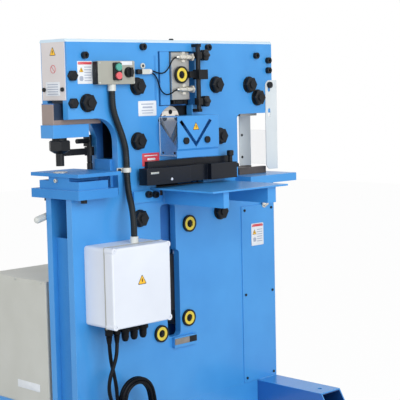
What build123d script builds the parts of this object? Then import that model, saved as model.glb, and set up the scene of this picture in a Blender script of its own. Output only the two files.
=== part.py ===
"""Hydraulic ironworker: two thick side plates with a sliding yoke between them.

The yoke carries the punch at the left end, the angle and flat blades in the middle and a tool
pad at the right end. A cylinder in the lower body pulls it down. Millimetres, +Z up, X along the
front of the machine and Y to the back. The pieces are drawn with Y = 0 half way between the side
plates, and written with the origin on the floor, in the middle of the four anchor holes.
"""
import math
import os

from build123d import *

# Side plates and feet
frame_width = 1002.0
frame_depth = 140.0
frame_height = 1306.0
plate_thickness = 28.0
foot_height = 100.0
foot_width = 110.0
foot_wall = 6.0
foot_front_reach = 322.0
foot_rear_reach = 450.0
foot_end_slant = 60.0
anchor_hole_radius = 9.0
anchor_front_inset = 112.0
anchor_rear_inset = 35.0
overrun = 5.0
seat_gap = 0.3
running_gap = 0.06

# Punch throat at the left and tool throat at the right, heights as shares of the frame height
throat_depth = 208.0
throat_z_shares = (0.59954, 0.80322)
throat_radius = 85.0
tool_throat_depth = 198.0
tool_throat_z_shares = (0.59571, 0.79786)
tool_throat_radius = 18.0

# Openings in the plates, as shares of the frame width and height
window_x_shares = (0.4057, 0.584)
window_z_shares = (0.829, 0.977)
passage_x_shares = (0.461, 0.567)
angle_hole_x_share = 0.486
angle_hole_z_share = 0.758
angle_hole_radius = 97.0
flat_slot_x_shares = (0.382, 0.618)
flat_slot_z_shares = (0.5857, 0.660)
upper_recess_x_shares = (0.398, 0.471)
upper_recess_z_shares = (0.420, 0.560)
lower_recess_x_shares = (0.421, 0.485)
lower_recess_z_shares = (0.188, 0.431)
recess_radius = 16.0

# Webs between the plates
web_thickness = 12.0
column_web_inset = 20.0
column_web_share = 0.494
throat_web_share = 0.459

# Covers and bolts on the frame
cover_thickness = 10.0
cover_chamfer = 6.0
cover_lip = 4.0
cover_bolt_radius = 9.0
cover_bolt_x_share = 0.537
end_cover_thickness = 4.0
end_cover_margin = 8.0
end_cover_drop = 193.0
end_screw_radius = 7.0
end_screw_height = 6.0
end_screw_inset = 12.0
end_screw_rise = 36.0
tie_radius = 17.0
tie_clearance = 0.6
tie_nut_radius = 30.0
tie_nut_height = 17.0
tie_stub_radius = 14.0
tie_stub_height = 5.0
tie_washer_radius = 31.0
tie_washer_height = 5.0
nut_chamfer = 4.0
yoke_tie_shares = (
    (0.080, 0.844),
    (0.303, 0.884),
    (0.690, 0.884),
    (0.869, 0.882),
    (0.915, 0.844),
)
lower_tie_shares = (
    (0.300, 0.738),
    (0.300, 0.530),
    (0.706, 0.738),
    (0.700, 0.522),
)
cap_screw_radius = 12.0
cap_screw_height = 14.0
cap_screw_socket = 6.0
cap_screw_shares = (
    (0.072, 0.966),
    (0.332, 0.9885),
    (0.651, 0.9885),
    (0.908, 0.966),
    (0.976, 0.952),
    (0.976, 0.923),
)
bracket_screw_shares = ((0.334, 0.593), (0.366, 0.591))
bracket_x_shares = (0.271, 0.392)
bracket_height = 41.0
bracket_depth = 8.0
bracket_gap = 2.0
guide_bolt_radius = 19.0
guide_bolt_height = 16.0
guide_bolt_shares = ((0.019, 0.914), (0.019, 0.844))

# Right lower access panel
panel_thickness = 3.0
panel_left_share = 0.814
panel_margin = 3.0
panel_top_share = 0.527
panel_screw_radius = 5.0
panel_screw_height = 3.0
panel_screw_inset = 16.0

# Pivot pins with grease points
pin_radius = 17.0
pin_bezel_radius = 31.0
pin_bezel_height = 9.0
pin_ring_radius = 25.0
pin_ring_bore = 14.0
pin_ring_height = 4.0
pin_nipple_radius = 9.0
pin_nipple_height = 8.0
cylinder_pin_shares = (0.524, 0.233)
guide_pin_shares = (0.537, 0.499)
link_pin_shares = (0.386, 0.204)
ledge_length = 112.0
ledge_height = 38.0
ledge_depth = 14.0
ledge_x_share = 0.441
ledge_z_share = 0.157

# Sliding yoke
yoke_thickness = 60.0
yoke_travel = 43.0
yoke_left = 10.0
yoke_top_share = 0.972
yoke_bar_z_share = 0.850
toe_left = 34.0
toe_right = 170.0
toe_height = 72.0
leg_width = 60.0
left_leg_share = 0.330
right_leg_share = 0.664
mid_bar_z_shares = (0.655, 0.712)
low_bar_z_shares = (0.452, 0.567)
tool_end_shares = (0.848, 0.968)
tool_end_lift = 4.0
tie_slot_gap = 3.0
tool_pad_length = 92.0
tool_pad_height = 14.0
gib_gap = 0.3
gib_width = 42.0
gib_recess = 3.0
gib_groove = 12.0

# Ram block in the window, with its pin, sensors and follower
ram_block_x_shares = (0.4655, 0.5505)
ram_block_z_shares = (0.845, 0.974)
ram_block_proud = 6.0
ram_pin_shares = (0.508, 0.913)
sensor_radius = 9.0
sensor_length = 66.0
sensor_z_shares = (0.961, 0.873)
sensor_end_gap = 6.0
sensor_clip_width = 14.0
stroke_rod_radius = 8.5
stroke_rod_x_share = 0.579
stroke_rod_offset = 25.0
stroke_rod_z_shares = (0.818, 0.989)
rod_lug_width = 17.0
rod_lug_height = 11.0
follower_length = 44.0
follower_height = 35.0
follower_arm_height = 24.0
follower_depth = 34.0
dog_size = 22.0
dog_height = 24.0
dog_z_shares = (0.966, 0.8385)
dog_knob_radius = 17.0
dog_knob_length = 16.0
dog_stem_radius = 5.0
dog_stem_length = 14.0

# Cylinder in the lower body
barrel_radius = 40.0
barrel_bore = 31.0
barrel_rise = 25.7
barrel_clearance = 12.3
barrel_head = 26.0
rod_radius = 20.0
piston_height = 40.0
piston_lift = 72.0
eye_radius = 34.0
eye_width = 50.0

# Angle shear
blade_width = 86.0
blade_top_share = 0.828
blade_shoulder_share = 0.795
blade_point_share = 0.741
blade_thickness = 10.0
blade_bolt_radius = 7.0
blade_bolt_height = 1.2
boss_reach = 90.0
vee_x_share = 0.486
vee_bottom_share = 0.716
vee_half_angle = 41.0
fixed_blade_inset = 4.0
fixed_blade_gap = 0.5
angle_guard_width = 203.0
angle_guard_depth = 97.0
angle_guard_left_share = 0.4035
angle_guard_z_shares = (0.689, 0.8015)
angle_guard_sheet = 3.0
angle_guard_step = 26.0
angle_guard_setback = 6.0
vee_slot_width = 13.0
vee_slot_leg = 122.0
guard_bolt_radius = 12.0
guard_bolt_height = 8.0
guard_bolt_z_share = 0.735
guard_bolt_spacing = 104.0
guard_window_sheet = 3.0
guard_window_margin = 7.0

# Flat shear
table_left_share = 0.353
table_end_gap = 57.9
table_reach = 316.0
table_thickness = 6.0
table_top_share = 0.6095
arm_height = 56.0
left_arm_width = 26.0
right_arm_width = 42.0
left_arm_offset = 64.0
right_arm_inset = 50.0
arm_reach = 302.0
arm_wall = 4.0
flat_blade_height = 56.0
flat_blade_margin = 10.0
flat_blade_rake = 5.0
flat_blade_overlap = 8.0
lower_blade_height = 32.0
hold_left_share = 0.288
hold_right_share = 0.735
hold_depth = 42.0
hold_gap = 18.0
hold_bottom_share = 0.6205
hold_height = 58.0
hold_back_height = 80.0
hold_recess_shares = (0.495, 0.601)
hold_recess_depth = 20.0
hold_screw_radius = 8.0
hold_screw_share = 0.722
hold_screw_rise = 22.0
hold_knob_radius = 13.0
hold_knob_height = 20.0
hold_bolt_radius = 8.0
hold_bolt_length = 26.0

# Tool table and guard at the right end
tool_table_lap = 14.4
tool_table_length = 258.0
tool_table_depth = 300.0
tool_table_thickness = 30.0
tool_die_length = 150.0
tool_die_depth = 96.0
tool_die_height = 26.0
tool_die_notch = 60.0
tool_guard_left_share = 0.960
tool_guard_right = 24.0
tool_guard_sheet = 3.0
tool_guard_bottom_share = 0.630
tool_guard_top_share = 0.894
tool_guard_rear_top_share = 0.872
tool_guard_radius = 24.0
tool_guard_travel = 20.0
tool_guard_low_slot_share = 0.806
tool_guard_slot_width = 13.0
tool_guard_screw_share = 0.880
tool_guard_screw_radius = 12.0
tool_guard_screw_height = 10.0
tool_window_sheet = 4.0
tool_window_top_share = 0.745
tool_window_lap = 14.0

# Punch station, heights as shares of the throat's opening from its lower jaw
punch_offset = 13.0
toe_share = 0.9323
holder_share = 0.7669
collar_share = 0.7331
coupling_share = 0.5700
punch_share = 0.4098
die_base_share = 0.1165
die_block_share = 0.2256
die_step_share = 0.2780
die_top_share = 0.3233
die_proud_share = 0.3350
post_top_share = 0.7729
hub_share = 0.5030
holder_left = 38.0
holder_right = 114.0
holder_width = 68.0
collar_radius = 25.0
coupling_radius = 38.0
coupling_taper = 12.0
coupling_chamfer = 7.0
coupling_nose_radius = 18.0
punch_radius = 14.0
die_base_left = 15.0
die_base_length = 170.0
die_base_depth = 260.0
die_block_inset = 6.0
die_block_length = 126.0
die_block_depth = 214.0
die_step_inset = 52.0
die_top_length = 186.0
die_radius = 24.0
die_bore = 15.0
table_bolt_radius = 11.0
table_bolt_height = 14.0
table_bolt_inset = 30.0
post_radius = 9.0
post_height = 96.0
post_mount_height = 40.0
post_flange_thickness = 8.0
post_flange_lap = 24.0
post_mount_reach = 24.0
hub_radius = 17.0
hub_height = 30.0
stripper_length = 138.0
stripper_height = 22.0
stripper_depth = 14.0
stop_rod_radius = 8.5
stop_rod_length = 46.0
stop_rod_drop = 20.0
wing_radius = 10.0
wing_height = 36.0

# Push-button box
button_box_x_shares = (0.109, 0.272)
button_box_z_shares = (0.890, 0.951)
button_box_depth = 29.0
button_box_radius = 5.0
bezel_width = 34.0
bezel_height = 60.0
bezel_depth = 9.0
bezel_x_share = 0.189
bezel_z_share = 0.9235
button_radius = 11.5
button_proud = 6.0
button_travel = 4.0
button_gap = 0.5
selector_x_share = 0.241
selector_z_share = 0.921
selector_base_radius = 18.0
selector_base_height = 4.0
selector_knob_radius = 16.0
selector_knob_height = 18.0
selector_grip = 9.0
selector_stem_radius = 5.0

# Electrical box
electric_x_shares = (0.048, 0.307)
electric_z_shares = (0.268, 0.476)
electric_depth = 147.0
electric_lid_depth = 42.0
electric_wall = 5.0
electric_radius = 12.0
lid_boss_radius = 11.0
lid_boss_inset = 9.0
lid_screw_radius = 5.0
lid_screw_depth = 3.0
gland_radius = 16.0
gland_nut_height = 14.0
gland_dome_height = 22.0
spare_gland_x_shares = (0.155, 0.195, 0.236)
gland_offset = 75.0
conduit_radius = 11.5
conduit_gland_radius = 14.0
conduit_gland_height = 22.0
conduit_upper_lead = 34.0
conduit_lower_lead = 38.6
box_gland_x_share = 0.178
electric_gland_x_share = 0.208
clip_width = 16.0
clip_sheet = 3.0
clip_tab = 22.0
clip_z_share = 0.664
clip_screw_radius = 6.0
clip_screw_height = 5.0

# Small cable fittings by the window
cable_clamp_shares = (0.335, 0.9225)
cable_clamp_length = 34.0
cable_clamp_height = 18.0
cable_clamp_depth = 16.0
cable_entry_shares = (0.2, -0.2)
grommet_shares = (0.331, 0.938)
grommet_radius = 10.0
grommet_bore = 5.0
grommet_height = 5.0

# Power unit behind the column
unit_left_inset = 3.0
unit_width = 700.0
unit_depth = 345.0
unit_gap = 24.0
unit_base_depth = 376.0
unit_height = 440.0
unit_wall = 3.0
unit_base_height = 35.0
unit_lid_height = 12.0
unit_corner_radius = 6.0
tank_height = 150.0
tank_margin = 20.0
motor_radius = 85.0
motor_length = 260.0
motor_foot_height = 24.0
pump_radius = 45.0
pump_length = 110.0
valve_size = 90.0
lever_radius = 12.0
lever_length = 131.0
lever_hub_radius = 18.0
lever_hub_length = 30.0
lever_shares = (0.100, 0.5665)
lever_droop = 14.5

# Coiled cables on the floor
cable_radius = 6.5
coil_half_width = 69.0
coil_half_run = 46.3
coil_tube_radius = 20.0
coil_tilt = 7.0
coil_x = -301.0
coil_y = -152.0
plug_radius = 26.0
plug_grip_radius = 20.0
plug_length = 86.0
plug_grip_length = 34.0
connector_radius = 16.0
connector_grip_radius = 12.0
connector_length = 64.0
connector_grip_length = 26.0

# Routes of the conduit and the cables, as chosen points
arc_share = 0.45
sensor_cable_radius = 2.4
sensor_cable_lead = 20.0
conduit_route = [
    (-319.0, -84.5, 1178.0),
    (-310.0, -84.3, 1149.0),
    (-286.0, -84.0, 1098.0),
    (-268.0, -84.0, 1046.0),
    (-265.0, -84.0, 992.0),
    (-265.0, -84.0, 942.0),
    (-266.8, -88.1, 916.9),
    (-270.5, -96.1, 893.0),
    (-275.7, -107.7, 870.9),
    (-281.9, -121.3, 853.4),
    (-287.1, -132.9, 831.4),
    (-290.8, -140.9, 807.4),
]
clip_point = conduit_route[4]
pedal_cable_route = [
    (-417.0, -145.0, 414.0),
    (-417.0, -145.0, 388.0),
    (-410.0, -139.0, 354.0),
    (-402.0, -135.0, 318.0),
    (-395.0, -139.0, 280.0),
    (-391.0, -144.0, 240.0),
    (-386.0, -147.0, 200.0),
]
mains_cable_route = [
    (-383.0, -145.0, 414.0),
    (-383.0, -145.0, 382.0),
    (-396.5, -157.0, 349.0),
    (-416.0, -165.0, 318.0),
    (-434.0, -168.0, 288.0),
    (-443.0, -168.0, 254.0),
    (-439.0, -166.0, 220.0),
    (-424.0, -162.0, 188.0),
    (-404.0, -159.0, 161.0),
    (-388.0, -157.0, 134.0),
]
pedal_tail_route = [
    (-290.0, -144.0, 24.0),
    (-254.0, -134.0, 14.0),
    (-222.0, -121.0, 8.0),
    (-196.0, -109.0, 11.0),
    (-170.0, -104.0, 15.5),
    (-150.0, -104.0, 15.5),
]
mains_tail_route = [
    (-290.0, -160.0, 24.0),
    (-254.0, -169.0, 14.0),
    (-218.0, -164.0, 8.0),
    (-191.0, -156.0, 17.0),
    (-168.0, -152.0, 24.5),
    (-148.0, -152.0, 24.5),
]
upper_sensor_route = [
    (-38.0, -82.0, 1343.0),
    (-52.0, -80.0, 1317.0),
    (-72.0, -79.0, 1299.0),
    (-100.0, -78.5, 1298.0),
]
lower_sensor_route = [
    (-40.0, -82.5, 1228.0),
    (-64.0, -80.5, 1221.0),
    (-86.0, -79.5, 1231.0),
    (-100.0, -79.0, 1254.0),
    (-108.0, -78.5, 1284.0),
]

left = -frame_width / 2
right = frame_width / 2
front = -frame_depth / 2
back = frame_depth / 2
inner_front = front + plate_thickness
inner_back = back - plate_thickness
yoke_front = -yoke_thickness / 2
yoke_back = yoke_thickness / 2
base = foot_height
top = base + frame_height


def frame_x(share):
    """X at a share of the frame width, from its left edge."""
    return left + share * frame_width


def frame_z(share):
    """Z at a share of the frame height, from its lower edge."""
    return base + share * frame_height


def span(x_range, y_range, z_range):
    """A box between pairs of limits."""
    low = (x_range[0], y_range[0], z_range[0])
    size = (x_range[1] - x_range[0], y_range[1] - y_range[0], z_range[1] - z_range[0])
    return Pos(*low) * Box(*size, align=(Align.MIN, Align.MIN, Align.MIN))


def upright(sketch, y_near, y_far):
    """Extrude a sketch drawn in X and Z from one depth to another."""
    plane = Plane(origin=(0, y_far, 0), x_dir=(1, 0, 0), z_dir=(0, -1, 0))
    return extrude(plane * sketch, y_far - y_near)


def outline(points):
    """A closed face through points."""
    return make_face(Polyline(*points, close=True))


def rectangle(x_range, z_range):
    """A rectangle between limits, for an upright extrusion."""
    center = ((x_range[0] + x_range[1]) / 2, (z_range[0] + z_range[1]) / 2)
    return Pos(*center) * Rectangle(x_range[1] - x_range[0], z_range[1] - z_range[0])


def rod_x(radius, x_range, y, z):
    """A cylinder along X."""
    length = x_range[1] - x_range[0]
    return Pos((x_range[0] + x_range[1]) / 2, y, z) * Rot(0, 90, 0) * Cylinder(radius, length)


def rod_y(radius, x, y_range, z):
    """A cylinder along Y."""
    length = y_range[1] - y_range[0]
    return Pos(x, (y_range[0] + y_range[1]) / 2, z) * Rot(90, 0, 0) * Cylinder(radius, length)


def rod_z(radius, x, y, z_range):
    """A cylinder along Z."""
    return Pos(x, y, (z_range[0] + z_range[1]) / 2) * Cylinder(radius, z_range[1] - z_range[0])


def at_shares(pair):
    """The X and Z of a pair of frame shares."""
    return frame_x(pair[0]), frame_z(pair[1])


def share_range(shares, place):
    """Both limits of a pair of shares."""
    return place(shares[0]), place(shares[1])


jaw_z, throat_z = share_range(throat_z_shares, frame_z)
tool_jaw_z, tool_throat_z = share_range(tool_throat_z_shares, frame_z)


def throat_level(share):
    """Z at a share of the punch throat's opening, from its lower jaw."""
    return jaw_z + share * (throat_z - jaw_z)


window_x = share_range(window_x_shares, frame_x)
window_z = share_range(window_z_shares, frame_z)
passage_x = share_range(passage_x_shares, frame_x)
angle_hole = (frame_x(angle_hole_x_share), frame_z(angle_hole_z_share))
flat_slot_x = share_range(flat_slot_x_shares, frame_x)
flat_slot_z = share_range(flat_slot_z_shares, frame_z)
pin_places = [at_shares(pair) for pair in (cylinder_pin_shares, guide_pin_shares, link_pin_shares)]
yoke_tie_places = [at_shares(pair) for pair in yoke_tie_shares]
tie_places = yoke_tie_places + [at_shares(pair) for pair in lower_tie_shares]
punch_x = left + punch_offset
toe_z = throat_level(toe_share)
tool_end_z = tool_throat_z + tool_end_lift
vee_x = frame_x(vee_x_share)
vee_z = frame_z(vee_bottom_share)


def profile():
    """The outline that both side plates share, with its two throats."""
    throat_x = left + throat_depth
    tool_x = right - tool_throat_depth
    face = outline(
        (
            (left, base),
            (left, jaw_z),
            (throat_x, jaw_z),
            (throat_x, throat_z),
            (left, throat_z),
            (left, top),
            (right, top),
            (right, tool_throat_z),
            (tool_x, tool_throat_z),
            (tool_x, tool_jaw_z),
            (right, tool_jaw_z),
            (right, base),
        )
    )
    corner = face.vertices().sort_by_distance(Vector(throat_x, throat_z, 0))[0]
    face = fillet(corner, throat_radius)
    corner = face.vertices().sort_by_distance(Vector(tool_x, tool_throat_z, 0))[0]
    return fillet(corner, tool_throat_radius)


def plate_holes():
    """Tie bolt and pivot pin holes, the same in both plates."""
    holes = Sketch()
    for x, z in tie_places:
        holes += Pos(x, z) * Circle(tie_radius + tie_clearance)
    for x, z in pin_places:
        holes += Pos(x, z) * Circle(pin_radius + tie_clearance)
    return holes


def work_openings():
    """The angle hole and the flat bar slot, right through the machine."""
    hole = Pos(*angle_hole) * Circle(angle_hole_radius)
    return hole + rectangle(flat_slot_x, flat_slot_z)


def front_side_plate():
    """Front plate, with the ram window and the recesses of the lower body."""
    face = profile() - plate_holes() - work_openings()
    face -= rectangle(window_x, window_z)
    face -= rectangle(passage_x, (angle_hole[1], window_z[1]))
    for x_shares, z_shares in (
        (upper_recess_x_shares, upper_recess_z_shares),
        (lower_recess_x_shares, lower_recess_z_shares),
    ):
        opening = rectangle(share_range(x_shares, frame_x), share_range(z_shares, frame_z))
        face -= fillet(opening.vertices(), recess_radius)
    return upright(face, front, inner_front)


def rear_side_plate():
    """Rear plate, open only where the work passes out."""
    return upright(profile() - plate_holes() - work_openings(), inner_back, back)


def column_web():
    """Upright plate that closes the column's left end."""
    x = left + column_web_inset
    return span((x, x + web_thickness), (inner_front, inner_back), (base, frame_z(column_web_share)))


def throat_web():
    """Short plate at the foot of the punch throat."""
    x = left + throat_depth
    return span((x - web_thickness, x), (inner_front, inner_back), (jaw_z, throat_level(throat_web_share)))


def right_web():
    """Upright plate that closes the right end under the tool table."""
    x = right - column_web_inset
    return span((x - web_thickness, x), (inner_front, inner_back), (base, tool_jaw_z))


def top_cover():
    """Cover strip along the top, chamfered on both long edges."""
    strip = span((left - cover_lip, right), (front, back), (top, top + cover_thickness))
    edges = strip.edges().filter_by(Axis.X).group_by(Axis.Z)[-1]
    return chamfer(edges, cover_chamfer)


def top_bolt():
    """Domed bolt on the top cover."""
    bolt = rod_z(cover_bolt_radius, frame_x(cover_bolt_x_share), 0, (0, cover_bolt_radius))
    bolt = fillet(bolt.edges().filter_by(GeomType.CIRCLE).sort_by(Axis.Z)[-1], cover_bolt_radius / 2)
    return Pos(0, 0, top + cover_thickness) * bolt


def end_cover():
    """Pale sheet over the left end of the upper frame."""
    y_range = (front + end_cover_margin, back - end_cover_margin)
    return span((left - end_cover_thickness, left), y_range, (top - end_cover_drop, top))


def end_screws():
    """Screws at the lower corners of the end cover."""
    x = left - end_cover_thickness
    z = top - end_cover_drop + end_screw_rise
    inset = end_cover_margin + end_screw_inset
    places = (front + inset, back - inset)
    return [rod_x(end_screw_radius, (x - end_screw_height, x), y, z) for y in places]


def hex_along_y(radius, x, z, y_range):
    """Hexagon prism along Y, its front edges chamfered."""
    prism = upright(Pos(x, z) * RegularPolygon(radius, 6), *y_range)
    return chamfer(prism.faces().sort_by(Axis.Y)[0].edges(), nut_chamfer)


def tie_bolts():
    """Bolts through both plates, each with a hexagon head and a turned stub in front."""
    bolts = []
    for x, z in tie_places:
        seat = front - tie_washer_height
        face = seat - tie_nut_height
        head = hex_along_y(tie_nut_radius, x, z, (face, seat))
        stub = rod_y(tie_stub_radius, x, (face - tie_stub_height, face), z)
        shank = rod_y(tie_radius, x, (seat, back + tie_nut_height + tie_washer_height), z)
        bolts.append(head + stub + shank)
    return bolts


def tie_washers():
    """Washers under the front heads and the rear nuts."""
    washers = []
    for x, z in tie_places:
        for y_range in ((front - tie_washer_height, front), (back, back + tie_washer_height)):
            ring = Circle(tie_washer_radius) - Circle(tie_radius + tie_clearance)
            washers.append(upright(Pos(x, z) * ring, *y_range))
    return washers


def tie_nuts():
    """Rear nuts of the tie bolts."""
    y_range = (back + tie_washer_height, back + tie_washer_height + tie_nut_height)
    ring = RegularPolygon(tie_nut_radius, 6) - Circle(tie_radius + tie_clearance / 2)
    return [upright(Pos(x, z) * ring, *y_range) for x, z in tie_places]


def cap_screws(shares, seat):
    """Socket head screws on a face of the front."""
    screws = []
    for pair in shares:
        x, z = at_shares(pair)
        face = seat - cap_screw_height
        head = rod_y(cap_screw_radius, x, (face, seat), z)
        socket = upright(Pos(x, z) * RegularPolygon(cap_screw_socket, 6), face, face + cap_screw_socket)
        screws.append(head - socket)
    return screws


def shear_bracket():
    """Plate on the front below the left end of the hold-down."""
    high = table_z - table_thickness - bracket_gap
    x_range = share_range(bracket_x_shares, frame_x)
    return span(x_range, (front - bracket_depth, front), (high - bracket_height, high))


def guide_bolts():
    """Bolts at the punch end that hold the yoke's guides."""
    bolts = []
    for pair in guide_bolt_shares:
        x, z = at_shares(pair)
        bolts.append(hex_along_y(guide_bolt_radius, x, z, (front - guide_bolt_height, front)))
    return bolts


def access_panel():
    """Thin panel on the lower right of the front plate."""
    x_range = (frame_x(panel_left_share), right - panel_margin)
    z_range = (base + panel_margin, frame_z(panel_top_share))
    return span(x_range, (front - panel_thickness, front), z_range)


def panel_screws():
    """Screws along both edges of the access panel."""
    face = front - panel_thickness
    x_range = (frame_x(panel_left_share) + panel_screw_inset, right - panel_margin - panel_screw_inset)
    z_low = base + panel_margin + panel_screw_inset
    z_high = frame_z(panel_top_share) - panel_screw_inset
    screws = []
    for x in x_range:
        for z in (z_low, (z_low + z_high) / 2, z_high):
            screws.append(rod_y(panel_screw_radius, x, (face - panel_screw_height, face), z))
    return screws


def pivot_pins():
    """Pins through both plates at the grease points."""
    return [rod_y(pin_radius, x, (front, back), z) for x, z in pin_places]


def grease_bezel(x, z, seat):
    """Black dished ring round a grease point."""
    ring = rod_y(pin_bezel_radius, x, (seat - pin_bezel_height, seat), z)
    pocket = rod_y(pin_ring_radius, x, (seat - pin_bezel_height, seat - pin_bezel_height / 2), z)
    return ring - pocket


def grease_ring(x, z, seat):
    """Yellow ring in the bezel."""
    floor = seat - pin_bezel_height / 2
    ring = Circle(pin_ring_radius - seat_gap) - Circle(pin_ring_bore)
    return upright(Pos(x, z) * ring, floor - pin_ring_height, floor)


def grease_nipple(x, z, seat):
    """Nipple in the middle of the ring."""
    floor = seat - pin_bezel_height / 2
    collar = rod_y(pin_nipple_radius, x, (floor - pin_nipple_height / 2, floor), z)
    return collar + rod_y(pin_nipple_radius / 2, x, (floor - pin_nipple_height, floor), z)


def ledge_bar():
    """Short flat bar bolted under the lower recess."""
    x = frame_x(ledge_x_share)
    z = frame_z(ledge_z_share)
    return span((x, x + ledge_length), (front - ledge_depth, front), (z, z + ledge_height))


foot_y = (front - foot_front_reach - foot_end_slant, back + foot_rear_reach)
anchor_y = (foot_y[0] + anchor_front_inset, foot_y[1] - anchor_rear_inset)


def foot_beam(x_low):
    """Hollow foot with its front end cut on the slant."""
    side = outline(
        (
            (foot_y[0], 0),
            (foot_y[0] + foot_end_slant, foot_height),
            (foot_y[1], foot_height),
            (foot_y[1], 0),
        )
    )
    plane = Plane(origin=(x_low, 0, 0), x_dir=(0, 1, 0), z_dir=(1, 0, 0))
    beam = extrude(plane * side, foot_width)
    hollow_x = (x_low + foot_wall, x_low + foot_width - foot_wall)
    long = (foot_y[0] - overrun, foot_y[1] + overrun)
    beam -= span(hollow_x, long, (foot_wall, foot_height - foot_wall))
    for y in anchor_y:
        beam -= rod_z(anchor_hole_radius, x_low + foot_width / 2, y, (-overrun, foot_height + overrun))
    return beam


def yoke():
    """One thick plate: bar along the top, two legs, two cross bars, punch toe and tool end."""
    bar_z = frame_z(yoke_bar_z_share)
    yoke_top = frame_z(yoke_top_share)
    leg_left = (frame_x(left_leg_share), frame_x(left_leg_share) + leg_width)
    leg_right = (frame_x(right_leg_share) - leg_width, frame_x(right_leg_share))
    low = share_range(low_bar_z_shares, frame_z)
    mid = share_range(mid_bar_z_shares, frame_z)
    tool_x = share_range(tool_end_shares, frame_x)
    face = rectangle((left + yoke_left, tool_x[1]), (bar_z, yoke_top))
    face += rectangle((left - toe_left, left + toe_right), (toe_z, toe_z + toe_height))
    face += rectangle((left + yoke_left, left + toe_right), (toe_z, bar_z))
    face += rectangle(tool_x, (tool_end_z, bar_z))
    for leg in (leg_left, leg_right):
        face += rectangle(leg, (low[0], bar_z))
    for bar in (mid, low):
        face += rectangle((leg_left[0], leg_right[1]), bar)
    boss_x = (vee_x - blade_width / 2, vee_x + boss_reach)
    face += rectangle(boss_x, (frame_z(blade_shoulder_share), bar_z))
    slot_radius = tie_radius + tie_slot_gap
    for x, z in yoke_tie_places:
        face -= Pos(x, z + yoke_travel / 2) * Rot(0, 0, 90) * SlotCenterToCenter(yoke_travel, 2 * slot_radius)
    guide = at_shares(guide_pin_shares)
    slot = SlotCenterToCenter(yoke_travel, 2 * (pin_radius + tie_slot_gap))
    face -= Pos(guide[0], guide[1] + yoke_travel / 2) * Rot(0, 0, 90) * slot
    return upright(face, yoke_front, yoke_back)


def tool_pad():
    """Bare steel pad under the yoke's right end."""
    middle = sum(share_range(tool_end_shares, frame_x)) / 2
    x_range = (middle - tool_pad_length / 2, middle + tool_pad_length / 2)
    return span(x_range, (yoke_front, yoke_back), (tool_end_z - tool_pad_height, tool_end_z))


def window_gib():
    """Guide plate in the left part of the window, between plate face and yoke."""
    gap = gib_recess
    x_range = (window_x[0] + gib_groove, ram_block_x[0] - gap)
    return span(x_range, (front + gib_recess, yoke_front - gib_gap), (window_z[0] + gap, window_z[1]))


def side_gibs():
    """Wear strips that guide the yoke's bar from both plates."""
    gibs = []
    x_range = (frame_x(left_leg_share) + leg_width + gib_recess, window_x[0] - gib_recess)
    z_range = (window_z[0], frame_z(yoke_top_share))
    gibs.append(span(x_range, (yoke_back + gib_gap, inner_back), z_range))
    x_far = (window_x[1] + gib_recess, window_x[1] + gib_recess + gib_width)
    gibs.append(span(x_far, (inner_front, yoke_front - gib_gap), z_range))
    gibs.append(span(x_far, (yoke_back + gib_gap, inner_back), z_range))
    return gibs


ram_face = front - ram_block_proud
ram_block_x = share_range(ram_block_x_shares, frame_x)
ram_block_z = share_range(ram_block_z_shares, frame_z)
ram_pin = at_shares(ram_pin_shares)
rod_place = (frame_x(stroke_rod_x_share), front - stroke_rod_offset)
rod_z_range = share_range(stroke_rod_z_shares, frame_z)


def ram_block():
    """Bare steel block on the yoke, showing through the window."""
    return span(ram_block_x, (ram_face, yoke_front), ram_block_z)


def sensor_places():
    """Where the two stroke sensors lie, end and height."""
    x_end = rod_place[0] - dog_size / 2 - sensor_end_gap
    return [(x_end - sensor_length, x_end, frame_z(share)) for share in sensor_z_shares]


def stroke_sensors():
    """Barrel sensors that lie across the ram block, aimed at the dogs."""
    y = ram_face - sensor_radius - seat_gap
    return [rod_x(sensor_radius, (low, high), y, z) for low, high, z in sensor_places()]


def sensor_clips():
    """Clips that hold the sensors on the ram block."""
    clips = []
    reach = sensor_radius + seat_gap
    y = ram_face - reach
    for low, high, z in sensor_places():
        x_range = (low + sensor_clip_width, low + 2 * sensor_clip_width)
        clip = span(x_range, (y, ram_face), (z - 2 * reach, z + 2 * reach))
        clip -= rod_x(reach, (x_range[0] - overrun, x_range[1] + overrun), y, z)
        clips.extend(clip.solids())
    return clips


def follower():
    """Arm on the ram block that rides along the stroke rod."""
    x, y = rod_place
    z = ram_pin[1]
    size = follower_length / 2
    block_z = (z - follower_height / 2, z + follower_height / 2)
    block = span((x - size / 2, x + size * 3 / 2), (y - follower_depth / 2, y + follower_depth / 2), block_z)
    arm_z = (z - follower_arm_height / 2, z + follower_arm_height / 2)
    arm = span((ram_pin[0] + pin_bezel_radius + seat_gap, x), (y, ram_face), arm_z)
    bore = rod_z(stroke_rod_radius + seat_gap, x, y, (z - follower_height, z + follower_height))
    return block + arm - bore


def stroke_rod():
    """Upright rod in front of the plate that carries the dogs."""
    return rod_z(stroke_rod_radius, *rod_place, rod_z_range)


def rod_lugs():
    """Lugs that hold the rod's two ends."""
    x_range = (rod_place[0] - rod_lug_width / 2, rod_place[0] + rod_lug_width / 2)
    y_range = (rod_place[1] - rod_lug_width / 2, front)
    low, high = rod_z_range
    return [
        span(x_range, y_range, (low - rod_lug_height, low)),
        span(x_range, y_range, (high, high + rod_lug_height)),
    ]


def stroke_dog(z):
    """Clamp block on the rod with a knob at its side."""
    x, y = rod_place
    half = dog_size / 2
    block = span((x - half, x + half), (y - half, y + half), (z - dog_height / 2, z + dog_height / 2))
    block -= rod_z(stroke_rod_radius + seat_gap, x, y, (z - dog_height, z + dog_height))
    stem_end = x + half + dog_stem_length
    stem = rod_x(dog_stem_radius, (x + half, stem_end), y, z)
    knob = rod_x(dog_knob_radius, (stem_end, stem_end + dog_knob_length), y, z)
    return block + stem + fillet(knob.edges(), dog_stem_radius / 2)


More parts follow.
